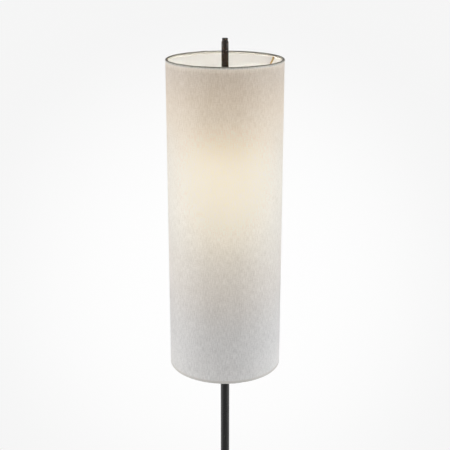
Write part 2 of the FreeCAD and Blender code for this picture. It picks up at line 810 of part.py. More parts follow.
# ------------------------------------------------------------------- assembly
def build_all():
    """Every piece of the lamp by its name."""
    makers = [
        base_plate, foot_ring, recess_cover, cover_screws, cable_gland, terminal_block, base_lead,
        stem_stud, stud_washer, stud_nut, base_collar, tube_plug, lower_tube, coiled_lead,
        clamp_ferrule, clamp_collet, clamp_nut, upper_rod, top_cap, rod_guide, rod_lead, shade_stop,
        set_screws, nipples, lock_nuts, holder_leads, spider_hub, spider_arms, top_ring, bottom_ring,
        shade_liner, shade_cloth,
    ]
    pieces = {maker.__name__: maker() for maker in makers}
    per_level = [
        holder_arm, holder_cap, holder_core, screw_shell, holder_skirt, lamp_cap, lamp_neck, lamp_globe,
    ]
    for level in arm_z:
        for maker in per_level:
            pieces[level + "_" + maker.__name__] = maker(level)
    return pieces


os.makedirs("parts", exist_ok=True)
for name, shape in build_all().items():
    shape.exportStep(os.path.join("parts", name + ".step"))
    print(name, "valid" if shape.isValid() else "NOT VALID", len(shape.Solids), round(shape.Volume, 1))
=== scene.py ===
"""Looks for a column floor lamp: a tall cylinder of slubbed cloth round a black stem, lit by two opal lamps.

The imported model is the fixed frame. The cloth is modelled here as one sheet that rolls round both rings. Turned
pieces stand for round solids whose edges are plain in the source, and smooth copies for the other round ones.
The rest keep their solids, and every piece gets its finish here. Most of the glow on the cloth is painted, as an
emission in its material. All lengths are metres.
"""

import logging
import math
from collections.abc import Callable, Sequence
from dataclasses import dataclass, field, replace
from enum import Enum

import bmesh
import bpy
import numpy as np
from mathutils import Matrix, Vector


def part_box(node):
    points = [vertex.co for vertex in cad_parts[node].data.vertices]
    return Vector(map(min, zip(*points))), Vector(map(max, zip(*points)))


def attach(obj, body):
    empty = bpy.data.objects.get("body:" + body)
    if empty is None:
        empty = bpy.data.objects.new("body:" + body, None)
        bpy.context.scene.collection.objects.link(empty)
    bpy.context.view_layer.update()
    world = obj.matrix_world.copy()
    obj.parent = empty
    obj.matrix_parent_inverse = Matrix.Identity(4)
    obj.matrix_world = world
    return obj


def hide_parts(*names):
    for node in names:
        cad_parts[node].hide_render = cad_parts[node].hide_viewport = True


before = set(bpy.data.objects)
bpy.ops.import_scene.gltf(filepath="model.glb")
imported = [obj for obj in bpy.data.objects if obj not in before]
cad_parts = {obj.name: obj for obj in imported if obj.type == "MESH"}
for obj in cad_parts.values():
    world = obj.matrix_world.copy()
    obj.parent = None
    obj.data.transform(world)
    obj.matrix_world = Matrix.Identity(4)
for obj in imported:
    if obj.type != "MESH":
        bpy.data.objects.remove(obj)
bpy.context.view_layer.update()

MM = 0.001

Pair = tuple[float, float]
Colour = tuple[float, float, float]
WALL_FILM: Colour = (0.22, 0.145, 0.07)

log = logging.getLogger("column_lamp")


class Body(Enum):
    """The bodies of the lamp that move against each other."""

    ROOT = "root"
    CLAMP_NUT = "clamp_nut"
    STEM = "stem"
    SHADE = "shade"


class Slot(Enum):
    """The finishes that the lamp's record names."""

    BASE_PAINT = "base_paint"
    STEM_PAINT = "stem_paint"
    FOOT_RUBBER = "foot_rubber"
    ZINC_STEEL = "zinc_steel"
    BRASS = "brass"
    BLACK_PLASTIC = "black_plastic"
    NATURAL_NYLON = "natural_nylon"
    HOLDER_MOULDING = "holder_moulding"
    LAMP_NICKEL = "lamp_nickel"
    LAMP_WHITE = "lamp_white"
    LAMP_OPAL = "lamp_opal"
    LINER_SHEET = "liner_sheet"
    SHADE_CLOTH = "shade_cloth"


def times(colour: Colour, share: float) -> Colour:
    """A colour times a share."""
    return tuple(share * part for part in colour)


# ---------------------------------------------------------------- node trees


class Wiring:
    """A hand on one node tree: it adds nodes, sets their sockets and joins them."""

    def __init__(self, tree: bpy.types.NodeTree) -> None:
        """Takes hold of a tree.

        Args:
            tree: the node tree to work on.
        """
        self.tree = tree

    def add(self, kind: str, **settings: object) -> bpy.types.Node:
        """Adds a node.

        Args:
            kind: the node's type, such as ShaderNodeTexNoise.
            settings: properties of the node, such as operation="MULTIPLY".

        Returns:
            The new node.
        """
        node = self.tree.nodes.new(kind)
        for name, value in settings.items():
            setattr(node, name, value)
        return node

    def feed(self, target: bpy.types.NodeSocket, source: object) -> None:
        """Joins an output to an input, or sets the input to a plain value.

        Args:
            target: the input socket.
            source: an output socket, a number, a colour or a vector.
        """
        if isinstance(source, bpy.types.NodeSocket):
            self.tree.links.new(source, target)
        else:
            target.default_value = source

    def math(self, operation: str, a: object, b: object = 0.0, c: object = 0.0) -> bpy.types.NodeSocket:
        """One step of arithmetic.

        Args:
            operation: the name of the operation, such as MULTIPLY_ADD.
            a: the first value or socket.
            b: the second value or socket.
            c: the third value or socket, for operations of three.

        Returns:
            The socket of the result.
        """
        node = self.add("ShaderNodeMath", operation=operation)
        for socket, source in zip(node.inputs, (a, b, c)):
            self.feed(socket, source)
        return node.outputs[0]

    def noise(
        self, vector: object, scale: object, detail: float = 2.0, rough: float = 0.5
    ) -> bpy.types.NodeSocket:
        """A field of noise between 0 and 1.

        Args:
            vector: the socket of the coordinates.
            scale: blobs for each metre.
            detail: octaves.
            rough: how strong the finer octaves are.

        Returns:
            The socket of the field's value.
        """
        node = self.add("ShaderNodeTexNoise")
        self.feed(node.inputs["Vector"], vector)
        self.feed(node.inputs["Scale"], scale)
        node.inputs["Detail"].default_value = detail
        node.inputs["Roughness"].default_value = rough
        return node.outputs["Fac"]

    def stretched(self, vector: object, scale: Sequence[float]) -> bpy.types.NodeSocket:
        """Coordinates stretched by a factor along each axis.

        Args:
            vector: the socket of the coordinates.
            scale: the three factors.

        Returns:
            The socket of the stretched coordinates.
        """
        node = self.add("ShaderNodeMapping", vector_type="POINT")
        self.feed(node.inputs["Vector"], vector)
        node.inputs["Scale"].default_value = scale
        return node.outputs["Vector"]

    def span(
        self, value: object, low: object, high: object, to_low: float = 0.0, to_high: float = 1.0
    ) -> bpy.types.NodeSocket:
        """A value carried from one span to another, with a soft start and a soft end.

        Args:
            value: the socket of the value.
            low: where the first span starts.
            high: where the first span ends.
            to_low: the result at the start.
            to_high: the result at the end.

        Returns:
            The socket of the result.
        """
        node = self.add("ShaderNodeMapRange", interpolation_type="SMOOTHSTEP")
        for name, source in (("Value", value), ("From Min", low), ("From Max", high)):
            self.feed(node.inputs[name], source)
        node.inputs["To Min"].default_value = to_low
        node.inputs["To Max"].default_value = to_high
        return node.outputs["Result"]

    def blend(self, share: object, a: object, b: object, mode: str = "MIX") -> bpy.types.NodeSocket:
        """Two colours blended.

        Args:
            share: how much of the second colour, from 0 to 1.
            a: the first colour or socket.
            b: the second colour or socket.
            mode: the way they are blended, such as MULTIPLY.

        Returns:
            The socket of the blended colour.
        """
        node = self.add("ShaderNodeMix", data_type="RGBA", blend_type=mode)
        self.feed(node.inputs[0], share)
        for socket, source in ((node.inputs[6], a), (node.inputs[7], b)):
            plain = isinstance(source, tuple) and len(source) == 3
            self.feed(socket, (*source, 1.0) if plain else source)
        return node.outputs[2]


class Socket(Enum):
    """The kinds of socket that the node groups have."""

    VALUE = "NodeSocketFloat"
    VECTOR = "NodeSocketVector"


@dataclass
class Effect:
    """An effect that several finishes share, kept as one node group that is built once."""

    name: str
    inputs: tuple[tuple[str, Socket, float], ...]
    outputs: tuple[tuple[str, Socket], ...]
    built: bpy.types.NodeTree | None = field(default=None, repr=False)

    def group(self) -> bpy.types.NodeTree:
        """The node group, made the first time that it is asked for.

        Returns:
            The group's node tree.
        """
        if self.built is None:
            tree = bpy.data.node_groups.new(self.name, "ShaderNodeTree")
            for name, kind, value in self.inputs:
                socket = tree.interface.new_socket(name, in_out="INPUT", socket_type=kind.value)
                if kind is Socket.VALUE:
                    socket.default_value = value
            for name, kind in self.outputs:
                tree.interface.new_socket(name, in_out="OUTPUT", socket_type=kind.value)
            wires = Wiring(tree)
            start, end = wires.add("NodeGroupInput"), wires.add("NodeGroupOutput")
            self.wire(wires, start.outputs, end.inputs)
            self.built = tree
        return self.built

    def wire(self, wires: Wiring, given: bpy.types.NodeOutputs, put: bpy.types.NodeInputs) -> None:
        """Fills the group. Each effect has its own.

        Args:
            wires: a hand on the group's tree.
            given: the sockets that the group takes in.
            put: the sockets that the group gives out.
        """
        raise NotImplementedError

    def place(self, wires: Wiring, **values: object) -> bpy.types.NodeOutputs:
        """Puts the group into a material.

        Args:
            wires: a hand on the material's tree.
            values: what its inputs get, by name with _ for a space.

        Returns:
            The outputs of the placed group.
        """
        node = wires.add("ShaderNodeGroup", node_tree=self.group())
        for name, source in values.items():
            wires.feed(node.inputs[name.replace("_", " ")], source)
        return node.outputs


class SlubWeave(Effect):
    """Plain weave with uneven upright yarns, on coordinates that are metres round and up the cloth."""

    WARP_SLUBS = 780.0
    WEFT_SLUBS = 600.0
    BROAD_SHADES = 60.0
    BROAD_SHARE = 0.14
    WEFT_SHARE = 0.28
    THREAD_RELIEF = 0.4

    def __init__(self) -> None:
        """Names the group's sockets."""
        super().__init__(
            "slub_weave",
            (("Cloth", Socket.VECTOR, 0.0), ("Threads", Socket.VALUE, 1500.0), ("Slub", Socket.VALUE, 0.5)),
            (("Height", Socket.VALUE), ("Yarn", Socket.VALUE), ("Open", Socket.VALUE)),
        )

    def wire(self, wires: Wiring, given: bpy.types.NodeOutputs, put: bpy.types.NodeInputs) -> None:
        """Warp and weft as two sines that take turns on top, and noise drawn out along each yarn.

        Args:
            wires: a hand on the group's tree.
            given: the sockets that the group takes in.
            put: the sockets that the group gives out.
        """
        cloth, threads, slub = given["Cloth"], given["Threads"], given["Slub"]
        warp_slub = wires.noise(wires.stretched(cloth, (1.0, 0.12, 1.0)), self.WARP_SLUBS, rough=0.6)
        weft_slub = wires.noise(wires.stretched(cloth, (0.3, 1.0, 1.0)), self.WEFT_SLUBS)
        broad = wires.noise(wires.stretched(cloth, (1.0, 0.3, 1.0)), self.BROAD_SHADES)
        parts = wires.add("ShaderNodeSeparateXYZ")
        wires.feed(parts.inputs[0], cloth)
        turn = wires.math("MULTIPLY", threads, math.pi)
        warp = wires.math("SINE", wires.math("MULTIPLY", parts.outputs["X"], turn))
        weft = wires.math("SINE", wires.math("MULTIPLY", parts.outputs["Y"], turn))
        over = wires.math("MULTIPLY_ADD", wires.math("MULTIPLY", warp, weft), 0.5, 0.5)
        upright = wires.math("MULTIPLY", warp_slub, 1.0 - self.BROAD_SHARE)
        streak = wires.math("MULTIPLY_ADD", broad, self.BROAD_SHARE, upright)
        rest = wires.math("MULTIPLY", streak, 1.0 - self.WEFT_SHARE)
        yarn = wires.math("MULTIPLY_ADD", weft_slub, self.WEFT_SHARE, rest)
        raised = wires.math("MULTIPLY", yarn, slub)
        wires.feed(put["Height"], wires.math("MULTIPLY_ADD", over, self.THREAD_RELIEF, raised))
        wires.feed(put["Yarn"], yarn)
        wires.feed(put["Open"], wires.span(yarn, 0.7, 0.3))


class FineGrain(Effect):
    """The fine texture of powder coat, lacquer or a moulded skin, with a little handling haze."""

    CLOUDS = 26.0

    def __init__(self) -> None:
        """Names the group's sockets."""
        super().__init__(
            "fine_grain",
            (("Place", Socket.VECTOR, 0.0), ("Grains", Socket.VALUE, 1800.0), ("Plain", Socket.VALUE, 0.35),
             ("Haze", Socket.VALUE, 0.08)),
            (("Height", Socket.VALUE), ("Roughness", Socket.VALUE), ("Speck", Socket.VALUE)),
        )

    def wire(self, wires: Wiring, given: bpy.types.NodeOutputs, put: bpy.types.NodeInputs) -> None:
        """Fine noise as the grain, and broad noise that makes some areas a little duller.

        Args:
            wires: a hand on the group's tree.
            given: the sockets that the group takes in.
            put: the sockets that the group gives out.
        """
        grain = wires.noise(given["Place"], given["Grains"], 3.0, 0.6)
        cloud = wires.noise(given["Place"], self.CLOUDS, 4.0, 0.6)
        spread = wires.math("SUBTRACT", wires.span(cloud, 0.35, 0.7), 0.5)
        wires.feed(put["Height"], grain)
        wires.feed(put["Roughness"], wires.math("MULTIPLY_ADD", spread, given["Haze"], given["Plain"]))
        wires.feed(put["Speck"], wires.span(grain, 0.62, 0.78))


class TurnedLines(Effect):
    """Fine lines that a lathe or a drawing die leaves on metal, with darker patches of age."""

    BLOTCHES = 90.0

    def __init__(self) -> None:
        """Names the group's sockets."""
        super().__init__(
            "turned_lines",
            (("Place", Socket.VECTOR, 0.0), ("Lines", Socket.VALUE, 2600.0), ("Plain", Socket.VALUE, 0.3),
             ("Age", Socket.VALUE, 0.3)),
            (("Height", Socket.VALUE), ("Roughness", Socket.VALUE), ("Patina", Socket.VALUE)),
        )

    def wire(self, wires: Wiring, given: bpy.types.NodeOutputs, put: bpy.types.NodeInputs) -> None:
        """Noise drawn out level, so that it makes lines round an upright axis, and blotches of patina.

        Args:
            wires: a hand on the group's tree.
            given: the sockets that the group takes in.
            put: the sockets that the group gives out.
        """
        lines = wires.noise(wires.stretched(given["Place"], (0.04, 0.04, 1.0)), given["Lines"])
        blotch = wires.noise(given["Place"], self.BLOTCHES, 4.0, 0.65)
        patina = wires.math("MULTIPLY", wires.span(blotch, 0.42, 0.7), given["Age"])
        rough = wires.math("MULTIPLY_ADD", lines, 0.12, given["Plain"])
        wires.feed(put["Height"], lines)
        wires.feed(put["Roughness"], wires.math("MULTIPLY_ADD", patina, 0.35, rough))
        wires.feed(put["Patina"], patina)


class SettledDust(Effect):
    """Thin dust that settles on faces that look up, patchy and never thick."""

    PATCHES = 210.0

    def __init__(self) -> None:
        """Names the group's sockets."""
        super().__init__(
            "settled_dust",
            (("Place", Socket.VECTOR, 0.0), ("Facing", Socket.VECTOR, 0.0), ("Amount", Socket.VALUE, 0.2)),
            (("Dust", Socket.VALUE),),
        )

    def wire(self, wires: Wiring, given: bpy.types.NodeOutputs, put: bpy.types.NodeInputs) -> None:
        """The upward share of the normal, times patchy noise, times the amount.

        Args:
            wires: a hand on the group's tree.
            given: the sockets that the group takes in.
            put: the sockets that the group gives out.
        """
        facing = wires.add("ShaderNodeSeparateXYZ")
        wires.feed(facing.inputs[0], given["Facing"])
        upward = wires.span(facing.outputs["Z"], 0.55, 1.0)
        patchy = wires.span(wires.noise(given["Place"], self.PATCHES, 5.0, 0.7), 0.4, 0.75, 0.35, 1.0)
        settled = wires.math("MULTIPLY", upward, patchy)
        wires.feed(put["Dust"], wires.math("MULTIPLY", settled, given["Amount"]))


SLUB_WEAVE = SlubWeave()
FINE_GRAIN = FineGrain()
TURNED_LINES = TurnedLines()
SETTLED_DUST = SettledDust()


# ---------------------------------------------------------------- finishes


@dataclass(frozen=True)
class Finish:
    """A finish of the lamp: what every finish has, and how its material starts."""

    slot: Slot
    colour: Colour

    def material(self) -> bpy.types.Material:
        """Builds the material.

        Returns:
            The finished material.
        """
        made = bpy.data.materials.new(f"{self.slot.value}_finish")
        made.use_nodes = True
        made.node_tree.nodes.clear()
        wires = Wiring(made.node_tree)
        self.wire(wires, wires.add("ShaderNodeOutputMaterial").inputs["Surface"])
        return made

    def wire(self, wires: Wiring, surface: bpy.types.NodeSocket) -> None:
        """Fills the material. Each finish has its own.

        Args:
            wires: a hand on the material's tree.
            surface: the surface socket of the material's output.
        """
        raise NotImplementedError

    def place(self, wires: Wiring) -> bpy.types.NodeSocket:
        """The piece's own coordinates, in metres."""
        return wires.add("ShaderNodeTexCoord").outputs["Object"]

    def facing(self, wires: Wiring) -> bpy.types.NodeSocket:
        """The direction that the surface faces."""
        return wires.add("ShaderNodeNewGeometry").outputs["Normal"]

    def relief(self, wires: Wiring, height: bpy.types.NodeSocket, depth: float) -> bpy.types.NodeSocket:
        """A normal bent by a height.

        Args:
            wires: a hand on the material's tree.
            height: the socket of the height, 0 to 1.
            depth: the real depth of that height, in metres.

        Returns:
            The socket of the bent normal.
        """
        bump = wires.add("ShaderNodeBump")
        bump.inputs["Strength"].default_value = 1.0
        bump.inputs["Distance"].default_value = depth
        wires.feed(bump.inputs["Height"], height)
        return bump.outputs["Normal"]


@dataclass(frozen=True)
class Coating(Finish):
    """Powder coat, lacquer, moulded plastic or rubber: a skin with a fine grain and a little dust."""

    roughness: float = 0.35
    gloss: float = 0.5
    grains: float = 1800.0
    depth: float = 0.00004
    haze: float = 0.08
    dust: float = 0.15
    dust_colour: Colour = (0.42, 0.4, 0.37)

    def wire(self, wires: Wiring, surface: bpy.types.NodeSocket) -> None:
        """Grain drives the bump and the roughness, specks and dust lighten the colour.

        Args:
            wires: a hand on the material's tree.
            surface: the surface socket of the material's output.
        """
        place = self.place(wires)
        grain = FINE_GRAIN.place(
            wires, Place=place, Grains=self.grains, Plain=self.roughness, Haze=self.haze
        )
        dust = SETTLED_DUST.place(wires, Place=place, Facing=self.facing(wires), Amount=self.dust)
        lighter = tuple(min(1.0, part * 1.35 + 0.004) for part in self.colour)
        skin = wires.add("ShaderNodeBsdfPrincipled")
        speckled = wires.blend(grain["Speck"], self.colour, lighter)
        wires.feed(skin.inputs["Base Color"], wires.blend(dust["Dust"], speckled, self.dust_colour))
        duller = wires.math("MULTIPLY", dust["Dust"], 0.5)
        wires.feed(skin.inputs["Roughness"], wires.math("ADD", grain["Roughness"], duller))
        skin.inputs["Specular IOR Level"].default_value = self.gloss
        wires.feed(skin.inputs["Normal"], self.relief(wires, grain["Height"], self.depth))
        wires.feed(surface, skin.outputs[0])


@dataclass(frozen=True)
class TurnedMetal(Finish):
    """Bare or plated metal with turned lines and patches of age."""

    aged: Colour = (0.2, 0.18, 0.15)
    roughness: float = 0.28
    lines: float = 2600.0
    depth: float = 0.00001
    age: float = 0.35

    def wire(self, wires: Wiring, surface: bpy.types.NodeSocket) -> None:
        """Lines drive the bump, and patina drives the colour and the roughness.

        Args:
            wires: a hand on the material's tree.
            surface: the surface socket of the material's output.
        """
        place = self.place(wires)
        lines = TURNED_LINES.place(wires, Place=place, Lines=self.lines, Plain=self.roughness, Age=self.age)
        metal = wires.add("ShaderNodeBsdfPrincipled")
        wires.feed(metal.inputs["Base Color"], wires.blend(lines["Patina"], self.colour, self.aged))
        wires.feed(metal.inputs["Roughness"], lines["Roughness"])
        metal.inputs["Metallic"].default_value = 1.0
        wires.feed(metal.inputs["Normal"], self.relief(wires, lines["Height"], self.depth))
        wires.feed(surface, metal.outputs[0])


@dataclass(frozen=True)
class OpalLamp(Finish):
    """The opal glass of a lamp that is switched on."""

    light: Colour = (1.0, 0.975, 0.9)
    strength: float = 13.5

    def wire(self, wires: Wiring, surface: bpy.types.NodeSocket) -> None:
        """Smooth white glass whose light is a little uneven, as the inner coat is.

        Args:
            wires: a hand on the material's tree.
            surface: the surface socket of the material's output.
        """
        place = self.place(wires)
        coat = wires.noise(place, 60.0, 3.0, 0.5)
        glass = wires.add("ShaderNodeBsdfPrincipled")
        wires.feed(glass.inputs["Base Color"], wires.blend(coat, self.colour, times(self.colour, 0.94)))
        wires.feed(glass.inputs["Roughness"], wires.span(coat, 0.2, 0.8, 0.16, 0.26))
        wires.feed(glass.inputs["Emission Color"], wires.blend(coat, self.light, times(self.light, 0.9)))
        glass.inputs["Emission Strength"].default_value = self.strength
        wires.feed(surface, glass.outputs[0])


@dataclass(frozen=True)
class Swell:
    """A value that grows over one stretch of depth, stays, and sinks over another.

    Both curves are 3tt - 2ttt, with t from 0 to 1 along the stretch.
    """

    grows: Pair
    sinks: Pair
    before: float = 0.0
    full: float = 1.0
    left: float = 0.0

    def wire(self, wires: Wiring, depth: bpy.types.NodeSocket) -> bpy.types.NodeSocket:
        """The value at each depth: the growing curve times the sinking one.

        Args:
            wires: a hand on the material's tree.
            depth: the socket of the depth.

        Returns:
            The socket of the value.
        """
        grown = wires.span(depth, *self.grows, self.before, self.full)
        return wires.math("MULTIPLY", grown, wires.span(depth, *self.sinks, 1.0, self.left))


@dataclass(frozen=True)
class PaintedGlow:
    """Painted lamplight: an emission colour that stands in for light through the wall, by depth below the top:
    pale near a lamp, or warm.
    """

    strength: Swell
    paleness: Swell
    warm: Colour
    pale: Colour

    def wire(self, wires: Wiring, depth: bpy.types.NodeSocket) -> bpy.types.NodeSocket:
        """The painted light at each depth: a tint between warm and pale, times the strength.

        Args:
            wires: a hand on the material's tree.
            depth: the socket of the depth.

        Returns:
            The socket of the light's colour.
        """
        tint = wires.blend(self.paleness.wire(wires, depth), self.warm, self.pale)
        return wires.blend(1.0, tint, self.strength.wire(wires, depth), "MULTIPLY")


@dataclass(frozen=True)
class BackLit(Finish):
    """A thin wall that lets light through: rays from lamps pass it, and other light scatters in it."""

    through: float = 0.4
    film: Colour = (0.8, 0.8, 0.8)

    def see_through(self, wires: Wiring, skin: bpy.types.Node, surface: bpy.types.NodeSocket) -> None:
        """Mixes the wall's own look with light scattered through it, and lets the rays from lamps pass.

        Args:
            wires: a hand on the material's tree.
            skin: the shader of the wall's own look.
            surface: the surface socket of the material's output.
        """
        scattered = wires.add("ShaderNodeBsdfTranslucent")
        scattered.inputs["Color"].default_value = (*self.colour, 1.0)
        wall = wires.add("ShaderNodeMixShader")
        wall.inputs[0].default_value = self.through
        wires.feed(wall.inputs[1], skin.outputs[0])
        wires.feed(wall.inputs[2], scattered.outputs[0])
        film = wires.add("ShaderNodeBsdfTransparent")
        film.inputs["Color"].default_value = (*self.film, 1.0)
        lit = wires.add("ShaderNodeMixShader")
        wires.feed(lit.inputs[0], wires.add("ShaderNodeLightPath").outputs["Is Shadow Ray"])
        wires.feed(lit.inputs[1], wall.outputs[0])
        wires.feed(lit.inputs[2], film.outputs[0])
        wires.feed(surface, lit.outputs[0])


@dataclass(frozen=True)
class LinerFilm(BackLit):
    """The stiff white sheet that the cloth is glued to, seen from inside the shade."""

    roughness: float = 0.55

    def wire(self, wires: Wiring, surface: bpy.types.NodeSocket) -> None:
        """A faint fibre pattern in the sheet's colour and surface.

        Args:
            wires: a hand on the material's tree.
            surface: the surface socket of the material's output.
        """
        place = self.place(wires)
        fibre = wires.noise(wires.stretched(place, (1.0, 1.0, 0.25)), 900.0, 3.0, 0.6)
        sheet = wires.add("ShaderNodeBsdfPrincipled")
        wires.feed(sheet.inputs["Base Color"], wires.blend(fibre, self.colour, times(self.colour, 0.95)))
        duller = self.roughness + 0.1
        wires.feed(sheet.inputs["Roughness"], wires.span(fibre, 0.3, 0.7, self.roughness, duller))
        wires.feed(sheet.inputs["Normal"], self.relief(wires, fibre, 0.02 * MM))
        self.see_through(wires, sheet, surface)


@dataclass(frozen=True)
class SlubCloth(BackLit):
    """Off-white cloth of slubbed yarn with the lamps on behind it: most of its glow is painted, as an emission.
    """

    hollow: Colour = (0.565, 0.575, 0.585)
    threads: float = 1300.0
    slub: float = 1.0
    depth: float = 0.22 * MM
    sheen: float = 0.2
    foot: float = 0.0
    top: float = 1.0
    # painted glow: emission colours that stand in for lamplight through the wall, the painted beam's step from
    # the upper lamp to the lower one, and how far the painted glow is dimmed where the yarn is thick
    all_round: PaintedGlow | None = None
    beam: PaintedGlow | None = None
    beam_step: float = 0.0
    dimmed: Colour = (0.86, 0.85, 0.83)
    # painted shade: a darker base colour along the wall's foot, up to a height with a soft fade
    foot_shade: Colour = (0.55, 0.54, 0.52)
    foot_shade_height: float = 4 * MM
    foot_shade_fade: float = 2.5 * MM
    # painted glow on the head's roll: a faint emission that stands in for light seeping through it
    painted_seep: Colour | None = None

    def height(self, wires: Wiring) -> bpy.types.NodeSocket:
        """The height above the floor.

        Args:
            wires: a hand on the material's tree.

        Returns:
            The socket of the height.
        """
        place = wires.add("ShaderNodeSeparateXYZ")
        wires.feed(place.inputs[0], self.place(wires))
        return place.outputs["Z"]

    def above_foot_shade(self, wires: Wiring) -> bpy.types.NodeSocket:
        """0 along the wall's foot, where its base colour is painted darker as shade where it meets the roll, 1
        above that.
        """
        low = self.foot + self.foot_shade_height
        return wires.span(self.height(wires), low, low + self.foot_shade_fade)

    def lamps(self, wires: Wiring) -> bpy.types.NodeSocket:
        """Painted lamplight on the wall, as an emission colour: an even part all round, and a painted beam close
        to a lamp.

        The beam's share is the cube of how far the wall faces the front, where the upper lamp is, or the
        back, where the lower lamp is. The direction is the room's, so the painted beams stay with the lamps when
        the shade turns.

        Args:
            wires: a hand on the material's tree.

        Returns:
            The socket of the light's colour.
        """
        depth = wires.math("SUBTRACT", self.top, self.height(wires))
        facing = wires.add("ShaderNodeSeparateXYZ")
        wires.feed(facing.inputs[0], self.facing(wires))
        backwards = wires.math("GREATER_THAN", facing.outputs["Y"], 0.0)
        lowered = wires.math("MULTIPLY_ADD", backwards, -self.beam_step, depth)
        share = wires.math("POWER", wires.math("ABSOLUTE", facing.outputs["Y"]), 3.0)
        even = self.all_round.wire(wires, depth)
        return wires.blend(share, even, self.beam.wire(wires, lowered), "ADD")

    def wire(self, wires: Wiring, surface: bpy.types.NodeSocket) -> None:
        """Yarn drives colour and bump, and thin places in the weave let out more of the painted glow.

        Args:
            wires: a hand on the material's tree.
            surface: the surface socket of the material's output.
        """
        cloth = wires.add("ShaderNodeUVMap", uv_map=RolledSheet.CLOTH_MAP).outputs["UV"]
        weave = SLUB_WEAVE.place(wires, Cloth=cloth, Threads=self.threads, Slub=self.slub)
        skin = wires.add("ShaderNodeBsdfPrincipled")
        yarn = wires.blend(wires.span(weave["Yarn"], 0.38, 0.62), self.hollow, self.colour)
        if self.all_round:
            # painted shade: the base colour darkens along the wall's foot
            yarn = wires.blend(self.above_foot_shade(wires), self.foot_shade, yarn)
        wires.feed(skin.inputs["Base Color"], yarn)
        wires.feed(skin.inputs["Roughness"], wires.span(weave["Yarn"], 0.3, 0.7, 0.95, 0.8))
        skin.inputs["Specular IOR Level"].default_value = 0.2
        skin.inputs["Sheen Weight"].default_value = self.sheen
        skin.inputs["Sheen Roughness"].default_value = 0.4
        wires.feed(skin.inputs["Normal"], self.relief(wires, weave["Height"], self.depth))
        # painted glow: an emission that stands in for lamplight through the cloth; on the head's roll it is a
        # faint painted seep
        light = self.lamps(wires) if self.all_round else self.painted_seep
        if light is not None:
            dimmed = wires.blend(1.0, light, self.dimmed, "MULTIPLY")
            wires.feed(skin.inputs["Emission Color"], wires.blend(weave["Open"], dimmed, light))
            skin.inputs["Emission Strength"].default_value = 1.0 / (1.0 - self.through)
        self.see_through(wires, skin, surface)


# ---------------------------------------------------------------- shapes


@dataclass(frozen=True)
class Roll:
    """Where the cloth rolls round a ring: the ring's radius and height, and the roll's own radius."""

    ring: float
    height: float
    radius: float
    up: int

    def angles(self, wall: float, turn: float, steps: int) -> np.ndarray:
        """Angles from where the roll meets the wall to its tucked end.

        Args:
            wall: the wall's radius.
            turn: how far round the ring the cloth goes, in radians.
            steps: how many points.

        Returns:
            The angles, counted from straight outwards, positive upwards.
        """
        meets = -math.acos(min(1.0, (wall - self.ring) / self.radius))
        return self.up * np.linspace(meets, turn, steps)

    def points(self, angles: np.ndarray) -> tuple[np.ndarray, np.ndarray]:
        """Places and directions on the roll: the ring's centre plus the radius turned by each angle.

        Args:
            angles: the angles.

        Returns:
            The places and the directions, each as radius and height.
        """
        out = np.stack([np.cos(angles), np.sin(angles)], axis=1)
        return np.array([self.ring, self.height]) + self.radius * out, out


